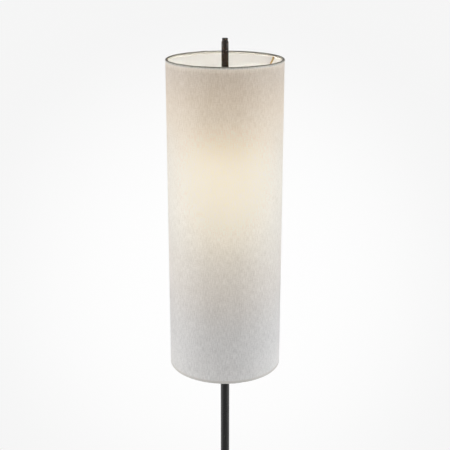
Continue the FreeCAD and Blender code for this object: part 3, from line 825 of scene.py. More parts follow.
@dataclass
class RolledSheet:
    """A cylinder of cloth that rolls round a ring at each end, as one closed thin solid."""

    CLOTH_MAP = "cloth"

    wall: float
    thickness: float
    foot: Roll
    head: Roll
    turn: float = math.radians(285)
    columns: int = 384
    rows: int = 72
    roll_rows: int = 26
    lap_azimuth: float = math.radians(112)
    lap_width: float = 12 * MM
    lap_rise: float = 0.45 * MM
    ripple: float = 0.1 * MM
    gather: float = 0.07 * MM

    def path(self) -> tuple[np.ndarray, np.ndarray, np.ndarray]:
        """The middle of the cloth from its tucked foot end, up the wall, to its tucked head end.

        Returns:
            Places and outward directions as radius and height, and 1 on the rolls and 0 on the wall.
        """
        foot, foot_out = self.foot.points(self.foot.angles(self.wall, self.turn, self.roll_rows)[::-1])
        head, head_out = self.head.points(self.head.angles(self.wall, self.turn, self.roll_rows))
        heights = np.linspace(foot[-1, 1], head[0, 1], self.rows)[1:-1]
        wall = np.stack([np.full_like(heights, self.wall), heights], axis=1)
        wall_out = np.tile([1.0, 0.0], (len(heights), 1))
        rolled = np.concatenate([np.ones(self.roll_rows), np.zeros(len(heights)), np.ones(self.roll_rows)])
        return np.concatenate([foot, wall, head]), np.concatenate([foot_out, wall_out, head_out]), rolled

    def lap(self, azimuths: np.ndarray) -> np.ndarray:
        """How far the glued lap of the cloth's two side edges stands out: a plateau with steep sides.

        Args:
            azimuths: the azimuth of each column.

        Returns:
            The rise at each column.
        """
        away = np.abs((azimuths - self.lap_azimuth + math.pi) % (2 * math.pi) - math.pi) * self.wall
        return self.lap_rise * np.clip((self.lap_width / 2 - away) / (0.8 * MM) + 0.5, 0.0, 1.0)

    def unevenness(self, azimuths: np.ndarray, lengths: np.ndarray, rolled: np.ndarray) -> np.ndarray:
        """How far the cloth wanders from a true cylinder.

        Slow waves on the wall that die out towards the rings, and fine gathers on the rolls.

        Args:
            azimuths: the azimuth of each column.
            lengths: the length along the path of each row.
            rolled: 1 on the rolls, 0 on the wall.

        Returns:
            The offset, rows by columns.
        """
        share = lengths / lengths[-1]
        wall = np.sin(math.pi * share) ** 0.5 * (1.0 - rolled)
        waves = np.zeros((len(lengths), len(azimuths)))
        for turns, rises, start in ((3, 1.5, 0.4), (5, 2.5, 1.9), (8, 3.5, 4.1), (13, 2.0, 2.7)):
            along = np.sin(rises * math.pi * share + start)
            waves += np.outer(along, np.sin(turns * azimuths + 2.3 * start)) / 4
        folds = np.zeros(len(azimuths))
        for turns, start in ((61, 0.2), (97, 1.3), (143, 3.3)):
            folds += np.sin(turns * azimuths + start + 1.5 * np.sin(7 * azimuths + start)) / 3
        return self.ripple * wall[:, None] * waves + self.gather * np.outer(rolled, folds)

    def mesh(self, name: str) -> bpy.types.Object:
        """Builds the sheet.

        Each point is the path's place, plus its outward direction times half the thickness and the
        unevenness, turned round the upright axis by its column's azimuth. The outer side runs up and the
        inner side back down.

        Args:
            name: the new object's name.

        Returns:
            The sheet, with material slot 0 on the wall's outside, 1 on the head's roll, 2 on the wall's
            inside and 3 on the foot's roll.
        """
        path, out, rolled = self.path()
        lengths = np.concatenate([[0.0], np.cumsum(np.linalg.norm(np.diff(path, axis=0), axis=1))])
        azimuths = np.arange(self.columns) * (2 * math.pi / self.columns)
        uneven = self.unevenness(azimuths, lengths, rolled)
        near = uneven - self.thickness / 2
        far = uneven + self.thickness / 2 + self.lap(azimuths)
        offset = np.concatenate([far, near[::-1]])
        place = np.concatenate([path, path[::-1]])[:, None, :]
        aim = np.concatenate([out, out[::-1]])[:, None, :]
        profile = place + aim * offset[:, :, None]
        radius, height = profile[..., 0], profile[..., 1]
        points = np.stack([radius * np.cos(azimuths), radius * np.sin(azimuths), height], axis=-1)
        outer = rolled + 2 * (np.arange(len(rolled)) < self.roll_rows)
        slots = np.concatenate([outer, np.where(rolled > 0, outer, 2)[::-1]])
        return self.closed_grid(name, points, np.concatenate([lengths, lengths[::-1]]), slots)

    def closed_grid(
        self, name: str, points: np.ndarray, lengths: np.ndarray, slots: np.ndarray
    ) -> bpy.types.Object:
        """A mesh of four-sided faces on a grid that closes both ways.

        Args:
            name: the new object's name.
            points: rows by columns by 3.
            lengths: the length along the cloth of each row, for its map.
            slots: the material slot of each row.

        Returns:
            The new object, at the origin.
        """
        rows, columns = points.shape[:2]
        row, column = np.meshgrid(np.arange(rows), np.arange(columns), indexing="ij")
        next_row, next_column = (row + 1) % rows, (column + 1) % columns
        here, above = row * columns, next_row * columns
        corners = np.stack(
            [here + column, here + next_column, above + next_column, above + column], axis=-1
        ).reshape(-1, 4)
        width = 2 * math.pi * self.wall / columns
        across = np.stack([column, column + 1, column + 1, column], axis=-1) * width
        along = np.stack([lengths[row], lengths[row], lengths[next_row], lengths[next_row]], axis=-1)
        mesh = bpy.data.meshes.new(name)
        mesh.vertices.add(rows * columns)
        mesh.vertices.foreach_set("co", points.reshape(-1).astype(np.float32))
        mesh.loops.add(corners.size)
        mesh.loops.foreach_set("vertex_index", corners.reshape(-1).astype(np.int32))
        mesh.polygons.add(len(corners))
        mesh.polygons.foreach_set("loop_start", np.arange(0, corners.size, 4, dtype=np.int32))
        part = np.minimum(slots[row], slots[next_row])
        mesh.polygons.foreach_set("material_index", part.reshape(-1).astype(np.int32))
        mesh.polygons.foreach_set("use_smooth", np.ones(len(corners), dtype=bool))
        cloth = mesh.uv_layers.new(name=self.CLOTH_MAP)
        cloth.data.foreach_set("uv", np.stack([across, along], axis=-1).reshape(-1).astype(np.float32))
        mesh.update(calc_edges=True)
        made = bpy.data.objects.new(name, mesh)
        bpy.context.scene.collection.objects.link(made)
        return made

    def cut(self) -> Pair:
        """The size that the cloth was cut to: once round plus the lap, by the length of the path.

        Returns:
            The width and the length.
        """
        path, _, _ = self.path()
        length = np.linalg.norm(np.diff(path, axis=0), axis=1).sum()
        return 2 * math.pi * self.wall + self.lap_width, float(length)


@dataclass
class Outline:
    """The outline of a turned piece as radius and height, drawn up its outside and back down its inside."""

    points: list[Pair] = field(default_factory=list)

    def to(self, radius: float, height: float) -> "Outline":
        """Goes on in a straight line.

        Args:
            radius: the radius to go to.
            height: the height to go to.

        Returns:
            The outline itself.
        """
        self.points.append((radius, height))
        return self

    def arc(self, centre: Pair, sizes: Pair, start: float, end: float, steps: int) -> "Outline":
        """Goes on along an arc: the centre plus width by cosine and height by sine of an even angle.

        Args:
            centre: the arc's centre, as radius and height.
            sizes: the arc's half width and half height.
            start: the angle where it starts, in degrees from straight outwards.
            end: the angle where it ends.
            steps: how many straight steps it has.

        Returns:
            The outline itself.
        """
        angles = np.radians(np.linspace(start, end, steps + 1))
        places = np.array(centre) + np.stack([np.cos(angles), np.sin(angles)], axis=1) * np.array(sizes)
        self.points.extend(map(tuple, places.tolist()))
        return self

    def swell(self, radius: float, height: float, slope: float, steps: int) -> "Outline":
        """Goes on along a cubic that starts upright and ends with a slope.

        With t from 0 to 1 the radius is r0 + (r1 - r0)(3tt - 2ttt) + rise times slope times (ttt - tt).

        Args:
            radius: the radius to go to.
            height: the height to go to.
            slope: how fast the radius grows with the height at the end.
            steps: how many straight steps it has.

        Returns:
            The outline itself.
        """
        first, low = self.points[-1]
        t = np.linspace(0.0, 1.0, steps + 1)[1:]
        out = first + (radius - first) * (3 * t**2 - 2 * t**3) + (height - low) * slope * (t**3 - t**2)
        self.points.extend(zip(out.tolist(), (low + (height - low) * t).tolist()))
        return self


# A drawing makes the outline of a piece from the two corners of its solid.
Drawing = Callable[[Vector, Vector], Outline]

# Points that are closer than this are one point.
TOGETHER = 0.002 * MM


def smooth(made: bpy.types.Object, crease: float = math.radians(32)) -> None:
    """Merges the points of a piece that lie on each other, and shades it smooth up to an angle.

    Args:
        made: the piece.
        crease: the angle from which an edge stays sharp.
    """
    shape = bmesh.new()
    shape.from_mesh(made.data)
    bmesh.ops.remove_doubles(shape, verts=shape.verts, dist=TOGETHER)
    shape.to_mesh(made.data)
    shape.free()
    made.data.shade_smooth()
    made.data.set_sharp_from_angle(angle=crease)


@dataclass
class TurnedPiece:
    """A closed outline carried round an upright axis."""

    name: str
    outline: Outline
    centre: Pair = (0.0, 0.0)
    columns: int = 96

    def mesh(self) -> bpy.types.Object:
        """Builds the piece.

        Each point of the outline, radius r and height h, is turned by an angle a round the axis: it lies at
        r times the cosine and sine of a from the axis, at height h. Stretches along the axis get no faces.

        Returns:
            The piece, at the origin.
        """
        radius, height = np.array(self.outline.points).T[:, :, None]
        after = np.roll(np.arange(len(radius)), -1)
        row = np.arange(len(radius))[np.maximum(radius, radius[after])[:, 0] > TOGETHER][:, None]
        angles = np.arange(self.columns) * (2 * math.pi / self.columns)
        x, y = self.centre
        level = np.broadcast_to(height, (len(radius), self.columns))
        points = np.stack([x + radius * np.cos(angles), y + radius * np.sin(angles), level], axis=-1)
        here = np.arange(self.columns)
        there = (here + 1) % self.columns
        start, end = row * self.columns, after[row] * self.columns
        faces = np.stack([start + here, start + there, end + there, end + here], axis=-1).reshape(-1, 4)
        mesh = bpy.data.meshes.new(self.name)
        mesh.from_pydata(points.reshape(-1, 3).tolist(), [], faces.tolist())
        made = bpy.data.objects.new(self.name, mesh)
        bpy.context.scene.collection.objects.link(made)
        smooth(made)
        return made


# ---------------------------------------------------------------- the lamp


@dataclass
class Dresser:
    """Gives the lamp's solids their finishes, and keeps one material for each finish."""

    finishes: dict[Slot, Finish]
    made: dict[Slot, bpy.types.Material] = field(default_factory=dict)

    def material(self, slot: Slot) -> bpy.types.Material:
        """The material of a finish, built the first time.

        Args:
            slot: which finish.

        Returns:
            Its material.
        """
        if slot not in self.made:
            self.made[slot] = self.finishes[slot].material()
        return self.made[slot]

    def dress(self, slot: Slot, *nodes: str) -> None:
        """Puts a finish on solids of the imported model.

        Args:
            slot: which finish.
            nodes: the names of the solids.
        """
        for name in nodes:
            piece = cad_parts[name]
            piece.data.materials.clear()
            piece.data.materials.append(self.material(slot))
            log.info("%s: %s", name, slot.value)

    def turn(self, slot: Slot, body: Body, node: str, piece: TurnedPiece) -> bpy.types.Object:
        """Builds a turned piece and lets it stand for its solid, whose edges are only bevelled.

        Args:
            slot: its finish.
            body: the body that it moves with.
            node: the solid that it stands for.
            piece: the turned piece.

        Returns:
            The piece.
        """
        made = piece.mesh()
        self.finish(made, slot, body)
        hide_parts(node)
        return made

    def polish(self, slot: Slot, body: Body, *nodes: str) -> list[bpy.types.Object]:
        """Lets a smooth-shaded copy stand for each solid that has round faces.

        Args:
            slot: their finish.
            body: the body that they move with.
            nodes: the names of the solids.

        Returns:
            The copies.
        """
        copies = []
        for name in nodes:
            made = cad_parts[name].copy()
            made.name = f"{name}_smooth"
            made.data = made.data.copy()
            made.parent = None
            bpy.context.scene.collection.objects.link(made)
            smooth(made)
            self.finish(made, slot, body)
            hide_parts(name)
            copies.append(made)
        return copies

    def finish(self, made: bpy.types.Object, slot: Slot, body: Body) -> None:
        """Gives a new piece its material and its body.

        Args:
            made: the piece.
            slot: its finish.
            body: the body that it moves with.
        """
        made.data.materials.clear()
        made.data.materials.append(self.material(slot))
        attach(made, body.value)
        log.info("%s: %s on %s", made.name, slot.value, body.value)


@dataclass
class Base:
    """The weighted foot: plate, rubber ring, collar, cover and what holds the stem down."""

    rubber: tuple[str, ...] = ("foot_ring",)
    plated: tuple[str, ...] = (
        "recess_cover", "cover_screws", "stem_stud", "stud_washer", "stud_nut", "tube_plug",
    )
    black: tuple[str, ...] = ("cable_gland", "base_lead")
    nylon: tuple[str, ...] = ("terminal_block",)
    rim: float = 2 * MM
    stud: float = 5 * MM
    neck: float = 10.5 * MM
    foot: float = 3 * MM
    sweep: float = 9 * MM
    edge: float = 1 * MM

    def build(self, dresser: Dresser) -> None:
        """Builds the collar and the rounded rim, and gives each solid its finish.

        Args:
            dresser: who holds the finishes.
        """
        dresser.dress(Slot.FOOT_RUBBER, *self.rubber)
        dresser.dress(Slot.ZINC_STEEL, *self.plated)
        dresser.dress(Slot.BLACK_PLASTIC, *self.black)
        dresser.dress(Slot.NATURAL_NYLON, *self.nylon)
        dresser.polish(Slot.BASE_PAINT, Body.ROOT, "base_plate")
        collar = TurnedPiece("base_collar_turned", self.collar(), columns=128)
        dresser.turn(Slot.BASE_PAINT, Body.ROOT, "base_collar", collar)
        rim = TurnedPiece("base_rim", self.rounded_rim(), columns=256).mesh()
        dresser.finish(rim, Slot.BASE_PAINT, Body.ROOT)

    def collar(self) -> Outline:
        """The collar: a flat foot, a quarter circle that sweeps in to the neck, and the tube's bore.

        Returns:
            The collar's outline.
        """
        low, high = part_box("base_collar")
        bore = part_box("lower_tube")
        shelf = low.z + self.foot
        rounding = (self.edge, self.edge)
        outline = Outline().to(self.stud, low.z).to(high.x, low.z)
        outline.arc((high.x - self.edge, shelf - self.edge), rounding, 0, 90, 6)
        outline.arc((self.neck + self.sweep, shelf + self.sweep), (self.sweep, self.sweep), 270, 180, 18)
        outline.arc((self.neck - self.edge, high.z - self.edge), rounding, 0, 90, 6)
        return outline.to(bore[1].x, high.z).to(bore[1].x, bore[0].z).to(self.stud, bore[0].z)

    def rounded_rim(self) -> Outline:
        """A sliver that rounds the bevel of the plate's upper edge: a quarter circle and its chord."""
        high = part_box("base_plate")[1]
        return Outline().arc((high.x - self.rim, high.z - self.rim), (self.rim, self.rim), 0, 90, 10)


@dataclass
class Stem:
    """The telescopic stem: tube, clamp, rod and tip."""

    plated: tuple[str, ...] = ("set_screws",)
    black: tuple[str, ...] = ("coiled_lead", "rod_lead")
    nylon: tuple[str, ...] = ("clamp_collet", "rod_guide")
    # painted reflection: a warmer copy of the stem paint for the rod, the stop and the tip, standing in for the
    # warm light inside the shade
    painted_lamplight_coat: Finish = Coating(
        Slot.STEM_PAINT, (0.018, 0.0085, 0.003), roughness=0.26, gloss=0.36, grains=2600.0, dust=0.06
    )
    rod_wall: float = 1.5 * MM
    tip: float = 5 * MM
    shoulder: float = 2.6 * MM
    edge: float = 0.9 * MM

    def build(self, dresser: Dresser) -> None:
        """Builds the tip, and gives each solid its finish. The rod, the stop and the tip get a painted warm
        reflection.

        Args:
            dresser: who holds the finishes.
        """
        dresser.dress(Slot.ZINC_STEEL, *self.plated)
        dresser.dress(Slot.BLACK_PLASTIC, *self.black)
        dresser.dress(Slot.NATURAL_NYLON, *self.nylon)
        dresser.polish(Slot.STEM_PAINT, Body.ROOT, "lower_tube", "clamp_ferrule")
        dresser.polish(Slot.STEM_PAINT, Body.CLAMP_NUT, "clamp_nut")
        upper = dresser.polish(Slot.STEM_PAINT, Body.STEM, "upper_rod", "shade_stop")
        tip = TurnedPiece("top_cap_turned", self.stepped_tip())
        upper.append(dresser.turn(Slot.STEM_PAINT, Body.STEM, "top_cap", tip))
        # painted reflection: the warmer copy of the stem paint replaces it on these pieces
        painted_lamplight_coat = self.painted_lamplight_coat.material()
        for piece in upper:
            piece.material_slots[0].material = painted_lamplight_coat

    def stepped_tip(self) -> Outline:
        """The tip: a shank in the rod, a shoulder that is a quarter of an ellipse, and a rounded pin.

        Returns:
            The tip's outline.
        """
        low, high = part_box("top_cap")
        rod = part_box("upper_rod")[1]
        shank = rod.x - self.rod_wall
        outline = Outline().to(0.0, low.z).to(shank, low.z).to(shank, rod.z).to(rod.x, rod.z)
        outline.arc((self.tip, rod.z), (rod.x - self.tip, self.shoulder), 0, 90, 8)
        outline.to(self.tip, high.z - self.edge)
        outline.arc((self.tip - self.edge, high.z - self.edge), (self.edge, self.edge), 0, 90, 6)
        return outline.to(0.0, high.z)


@dataclass
class LampHolders:
    """Two lamps on short arms, one before the rod and one behind it."""

    levels: tuple[str, ...] = ("upper", "lower")
    wall: float = 1.8 * MM
    nipple: float = 5 * MM
    cap_foot: float = 10 * MM
    dome: float = 11 * MM
    lip: float = 1.4 * MM
    neck_foot: float = 14 * MM
    glass: float = 1.2 * MM

    def build(self, dresser: Dresser) -> None:
        """Builds the holders' mouldings and the lamps' glass, and gives each solid its finish.

        Args:
            dresser: who holds the finishes.
        """
        dresser.dress(Slot.ZINC_STEEL, "nipples")
        dresser.dress(Slot.BRASS, "lock_nuts")
        dresser.dress(Slot.BLACK_PLASTIC, "holder_leads")
        for level in self.levels:
            dresser.polish(Slot.STEM_PAINT, Body.STEM, f"{level}_holder_arm")
            dresser.dress(Slot.HOLDER_MOULDING, f"{level}_holder_core")
            dresser.polish(Slot.BRASS, Body.STEM, f"{level}_screw_shell")
            dresser.polish(Slot.LAMP_NICKEL, Body.STEM, f"{level}_lamp_cap")
            self.turn(dresser, Slot.HOLDER_MOULDING, f"{level}_holder_cap", self.cap)
            self.turn(dresser, Slot.HOLDER_MOULDING, f"{level}_holder_skirt", self.skirt)
            self.turn(dresser, Slot.LAMP_WHITE, f"{level}_lamp_neck", self.neck)
            self.turn(dresser, Slot.LAMP_OPAL, f"{level}_lamp_globe", self.globe)

    def turn(self, dresser: Dresser, slot: Slot, node: str, draw: Drawing) -> None:
        """Turns one piece round its own solid's axis.

        Args:
            dresser: who holds the finishes.
            slot: its finish.
            node: the solid that it stands for.
            draw: the method that draws its outline from the solid's corners.
        """
        low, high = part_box(node)
        centre = (low.x + high.x) / 2, (low.y + high.y) / 2
        low, high = low - Vector((*centre, 0.0)), high - Vector((*centre, 0.0))
        dresser.turn(slot, Body.STEM, node, TurnedPiece(f"{node}_turned", draw(low, high), centre, 64))

    def cap(self, low: Vector, high: Vector) -> Outline:
        """The holder's cup: its dome is a quarter of an ellipse, and so is its inside.

        Args:
            low: the solid's lower corner, with its axis at the origin.
            high: its upper corner.

        Returns:
            The cup's outline.
        """
        foot, rim, floor = self.cap_foot, high.x, low.z + self.wall
        shoulder = low.z + self.dome
        inner = foot - self.wall
        outline = Outline().to(self.nipple, low.z)
        outline.arc((foot, shoulder), (rim - foot, self.dome), -90, 0, 14)
        outline.to(rim, high.z).to(rim - self.wall, high.z)
        outline.arc((inner, shoulder), (rim - self.wall - inner, self.dome - self.wall), 0, -90, 12)
        return outline.to(self.nipple, floor)

    def skirt(self, low: Vector, high: Vector) -> Outline:
        """The holder's sleeve with a rolled lip at its mouth.

        Args:
            low: the solid's lower corner, with its axis at the origin.
            high: its upper corner.

        Returns:
            The sleeve's outline.
        """
        inside = high.x - self.wall
        outline = Outline().to(inside, low.z).to(high.x, low.z)
        outline.arc((high.x - self.lip, high.z - self.lip), (self.lip, self.lip), 0, 90, 8)
        half = self.lip / 2
        outline.arc((inside - half, high.z - half), (half, half), 90, 180, 5)
        return outline.to(inside - self.lip, high.z - self.lip).to(inside, high.z - self.lip)

    def neck(self, low: Vector, high: Vector) -> Outline:
        """The lamp's neck, which swells until it meets the globe in the same direction.

        Args:
            low: the solid's lower corner, with its axis at the origin.
            high: its upper corner.

        Returns:
            The neck's outline.
        """
        globe = self.globe_radius()
        below = math.sqrt(globe**2 - high.x**2)
        outline = Outline().to(0.0, low.z).to(self.neck_foot, low.z)
        return outline.swell(high.x, high.z, below / high.x, 20).to(0.0, high.z)

    def globe(self, low: Vector, high: Vector) -> Outline:
        """The lamp's glass: an outer and an inner part of a sphere, open at the neck.

        Args:
            low: the solid's lower corner, with its axis at the origin.
            high: its upper corner.

        Returns:
            The glass's outline.
        """
        outer = self.globe_radius()
        inner, centre = outer - self.glass, high.z - outer
        below = centre - low.z
        start, end = (-math.degrees(math.asin(below / radius)) for radius in (outer, inner))
        outline = Outline().arc((0.0, centre), (outer, outer), start, 90, 26)
        return outline.arc((0.0, centre), (inner, inner), 90, end, 16)

    def globe_radius(self) -> float:
        """The radius of the globes, from the width of the solid."""
        low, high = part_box("upper_lamp_globe")
        return (high.x - low.x) / 2


@dataclass
class Shade:
    """The cloth cylinder with its rings, its liner and the spider that hangs it on the rod."""

    cloth_thickness: float = 0.5 * MM
    head_roll: float = 2.1 * MM

    def roll(self, ring_node: str, radius: float | None, up: int) -> Roll:
        """A roll of cloth round one of the rings.

        Args:
            ring_node: the ring's solid.
            radius: the roll's radius, or None for one that ends flush with the wall.
            up: 1 at the head, -1 at the foot.

        Returns:
            The roll.
        """
        low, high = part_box(ring_node)
        ring = high.x - (high.z - low.z) / 2
        return Roll(ring, (low.z + high.z) / 2, radius or self.wall() - ring, up)

    def wall(self) -> float:
        """The radius of the middle of the cloth, from the outside of the cloth's own solid."""
        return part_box("shade_cloth")[1].x - self.cloth_thickness / 2

    def build(self, dresser: Dresser, cloths: Sequence[Finish]) -> bpy.types.Object:
        """Builds the cloth and dresses the rings, the liner and the spider.

        Args:
            dresser: who holds the finishes.
            cloths: the finishes of the head's roll, of the cloth's inside and of the foot's roll.

        Returns:
            The cloth.
        """
        foot, head = self.roll("bottom_ring", None, -1), self.roll("top_ring", self.head_roll, 1)
        sheet = RolledSheet(self.wall(), self.cloth_thickness, foot, head)
        cloth = sheet.mesh("shade_wall")
        cloth.data.materials.append(dresser.material(Slot.SHADE_CLOTH))
        for finish in cloths:
            cloth.data.materials.append(finish.material())
        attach(cloth, Body.SHADE.value)
        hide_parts("shade_cloth")
        sheet.cut()
        log.info("shade_wall: cut %.3f by %.3f m", *sheet.cut())
        dresser.dress(Slot.LINER_SHEET, "shade_liner")
        dresser.dress(Slot.ZINC_STEEL, "top_ring", "bottom_ring")
        dresser.polish(Slot.BRASS, Body.SHADE, "spider_hub", "spider_arms")
        return cloth


def painted_glow_cloth() -> SlubCloth:
    """The cloth of the wall, with a painted glow that stands in for the lamps behind it.

    The painted beam is the upper lamp's. The lower lamp's is the same, lower by the step from lamp to lamp.

    Returns:
        The finish.
    """
    low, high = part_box("shade_cloth")
    # painted glow: an even part all round and a beam, as emission curves by depth
    all_round = PaintedGlow(
        strength=Swell(grows=(-0.02, 0.11), sinks=(0.18, 0.5), before=0.115, full=0.245, left=0.04),
        paleness=Swell(grows=(0.0, 0.2), sinks=(0.27, 0.43), left=0.2),
        warm=(1.0, 0.55, 0.07),
        pale=(1.0, 0.86, 0.58),
    )
    beam = PaintedGlow(
        strength=Swell(grows=(0.07, 0.172), sinks=(0.18, 0.365), full=0.245),
        paleness=Swell(grows=(0.11, 0.17), sinks=(0.245, 0.33)),
        warm=(1.0, 0.65, 0.2),
        pale=(1.0, 0.8, 0.45),
    )
    return SlubCloth(
        Slot.SHADE_CLOTH,
        (0.795, 0.805, 0.815),
        film=WALL_FILM,
        foot=low.z,
        top=high.z,
        all_round=all_round,
        beam=beam,
        beam_step=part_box("upper_lamp_globe")[1].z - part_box("lower_lamp_globe")[1].z,
    )


def other_cloths() -> tuple[SlubCloth, ...]:
    """The cloth where it isn't the wall with the painted glow. The rolls are the same cloth painted darker, as
    shade.

    Returns:
        The finishes of the head's roll, of the cloth's inside and of the foot's roll.
    """
    # painted shade: the rolls are copies of the wall's cloth in darker colours, where no lamplight comes through
    rolled = SlubCloth(
        Slot.SHADE_CLOTH, (0.66, 0.645, 0.6), hollow=(0.5, 0.49, 0.455), through=0.05, film=(0.1, 0.1, 0.1)
    )
    # painted glow: the head's roll gets a faint emission that stands in for light seeping through it
    head = replace(rolled, painted_seep=(0.1, 0.094, 0.082))
    # painted shade: the foot's roll is darker still, as it gets less light
    foot = replace(rolled, colour=(0.6, 0.59, 0.57), hollow=(0.48, 0.47, 0.455))
    return head, SlubCloth(Slot.SHADE_CLOTH, (0.78, 0.78, 0.78), film=WALL_FILM), foot


def finishes() -> dict[Slot, Finish]:
    """Every finish of the lamp.

    Returns:
        The finishes by slot.
    """
    listed = (
        Coating(
            Slot.BASE_PAINT, (0.014, 0.014, 0.015),
            roughness=0.42, gloss=0.4, grains=1500.0, depth=0.06 * MM,
        ),
        Coating(
            Slot.STEM_PAINT, (0.006, 0.0062, 0.0062),
            roughness=0.3, gloss=0.22, grains=2600.0, depth=0.01 * MM, dust=0.06,
        ),
        Coating(
            Slot.FOOT_RUBBER, (0.02, 0.02, 0.02),
            roughness=0.75, gloss=0.3, grains=900.0, depth=0.05 * MM,
        ),
        Coating(
            Slot.BLACK_PLASTIC, (0.02, 0.02, 0.021),
            roughness=0.5, gloss=0.4, grains=1400.0, depth=0.03 * MM,
        ),
        Coating(
            Slot.NATURAL_NYLON, (0.72, 0.7, 0.63),
            roughness=0.45, gloss=0.4, grains=700.0, depth=0.02 * MM,
        ),
        Coating(
            Slot.HOLDER_MOULDING, (0.03, 0.028, 0.026),
            roughness=0.34, gloss=0.45, grains=1700.0, depth=0.02 * MM,
        ),
        Coating(
            Slot.LAMP_WHITE, (0.8, 0.8, 0.78),
            roughness=0.4, gloss=0.45, grains=900.0, depth=0.01 * MM, dust=0.05,
        ),
        TurnedMetal(Slot.ZINC_STEEL, (0.62, 0.63, 0.65), aged=(0.38, 0.37, 0.36), roughness=0.3),
        TurnedMetal(Slot.BRASS, (0.82, 0.6, 0.3), aged=(0.42, 0.27, 0.12), roughness=0.26),
        TurnedMetal(Slot.LAMP_NICKEL, (0.72, 0.7, 0.66), aged=(0.45, 0.43, 0.4), roughness=0.25),
        OpalLamp(Slot.LAMP_OPAL, (0.93, 0.91, 0.87)),
        LinerFilm(Slot.LINER_SHEET, (0.93, 0.93, 0.93), through=0.12),
        painted_glow_cloth(),
    )
    return {finish.slot: finish for finish in listed}


# ---------------------------------------------------------------- the studio


@dataclass(frozen=True)
class Viewpoint:
    """Where the photograph was taken from: a little above the shade's top, looking down at it."""

    place: tuple[float, float, float] = (0.0, -1.6116, 1.6894)
    tilt_down: float = math.radians(17.777)
    lens: float = 76.5
    sensor: float = 36.0

    def build(self) -> bpy.types.Object:
        """Makes the camera and sets it as the scene's.

        Returns:
            The camera.
        """
        data = bpy.data.cameras.new("camera")
        data.lens, data.sensor_width = self.lens, self.sensor
        data.clip_start, data.clip_end = 0.05, 200.0
        camera = bpy.data.objects.new("camera", data)
        camera.location = self.place
        camera.rotation_euler = (math.pi / 2 - self.tilt_down, 0.0, 0.0)
        bpy.context.scene.collection.objects.link(camera)
        bpy.context.scene.camera = camera
        return camera

    def aim(self, lower: float = 0.0) -> tuple[float, float, float]:
        """The direction that the camera looks in, or one that is lower by an angle."""
        tilt = self.tilt_down + lower
        return 0.0, math.cos(tilt), -math.sin(tilt)


@dataclass(frozen=True)
class SoftBox:
    """A soft rectangular light that faces the lamp's axis."""

    name: str
    place: tuple[float, float, float]
    aim: tuple[float, float, float]
    width: float
    height: float
    power: float
    mirrored: bool = True

    def build(self) -> bpy.types.Object:
        """Makes the light. One that isn't mirrored lights the lamp, but makes no highlight on the stem.

        Returns:
            The light's object.
        """
        data = bpy.data.lights.new(self.name, "AREA")
        data.shape, data.size, data.size_y = "RECTANGLE", self.width, self.height
        data.energy = self.power
        light = bpy.data.objects.new(self.name, data)
        light.location = self.place
        light.rotation_euler = (Vector(self.aim) - Vector(self.place)).to_track_quat("-Z", "Y").to_euler()
        light.visible_camera = False
        light.visible_glossy = self.mirrored
        bpy.context.scene.collection.objects.link(light)
        return light


@dataclass(frozen=True)
class Surroundings:
    """The pale room: what the camera sees behind the lamp, and the even light that comes from all round.

    The backdrop goes from rim to hub by the cosine of the angle to the hub. Its end is a little over 1, so that
    the middle stays just short of the hub's white.
    """

    below: Colour = (1.0, 1.0, 1.0)
    above: Colour = (0.15, 0.15, 0.15)
    ambient_strength: float = 0.105
    hub: Colour = (0.995, 0.995, 0.995)
    rim: Colour = (0.917, 0.917, 0.917)
    hub_lower: float = math.radians(3.3)
    rim_cosine: float = 0.96
    hub_cosine: float = 1.004
    turnover: float = 0.7

    def build(self, view: Viewpoint) -> bpy.types.World:
        """Makes the world: a near-white that dims away from the lamp, and a light mostly from below.

        Args:
            view: the photograph's viewpoint.

        Returns:
            The world.
        """
        world = bpy.data.worlds.new("studio")
        world.use_nodes = True
        world.node_tree.nodes.clear()
        wires = Wiring(world.node_tree)
        towards = wires.add("ShaderNodeVectorMath", operation="DOT_PRODUCT")
        wires.feed(towards.inputs[0], wires.add("ShaderNodeTexCoord").outputs["Generated"])
        towards.inputs[1].default_value = view.aim(self.hub_lower)
        close = wires.span(towards.outputs["Value"], self.rim_cosine, self.hub_cosine)
        backdrop = wires.add("ShaderNodeBackground")
        wires.feed(backdrop.inputs["Color"], wires.blend(close, self.rim, self.hub))
        even = wires.add("ShaderNodeBackground")
        parts = wires.add("ShaderNodeSeparateXYZ")
        wires.feed(parts.inputs[0], wires.add("ShaderNodeTexCoord").outputs["Generated"])
        upward = wires.span(parts.outputs["Z"], -self.turnover, self.turnover)
        wires.feed(even.inputs["Color"], wires.blend(upward, self.below, self.above))
        even.inputs["Strength"].default_value = self.ambient_strength
        rays = wires.add("ShaderNodeLightPath").outputs
        shown = wires.math("MAXIMUM", rays["Is Camera Ray"], rays["Is Glossy Ray"])
        mixed = wires.add("ShaderNodeMixShader")
        wires.feed(mixed.inputs[0], wires.math("MAXIMUM", shown, rays["Is Transmission Ray"]))
        wires.feed(mixed.inputs[1], even.outputs[0])
        wires.feed(mixed.inputs[2], backdrop.outputs[0])
        wires.feed(wires.add("ShaderNodeOutputWorld").inputs["Surface"], mixed.outputs[0])
        bpy.context.scene.world = world
        return world


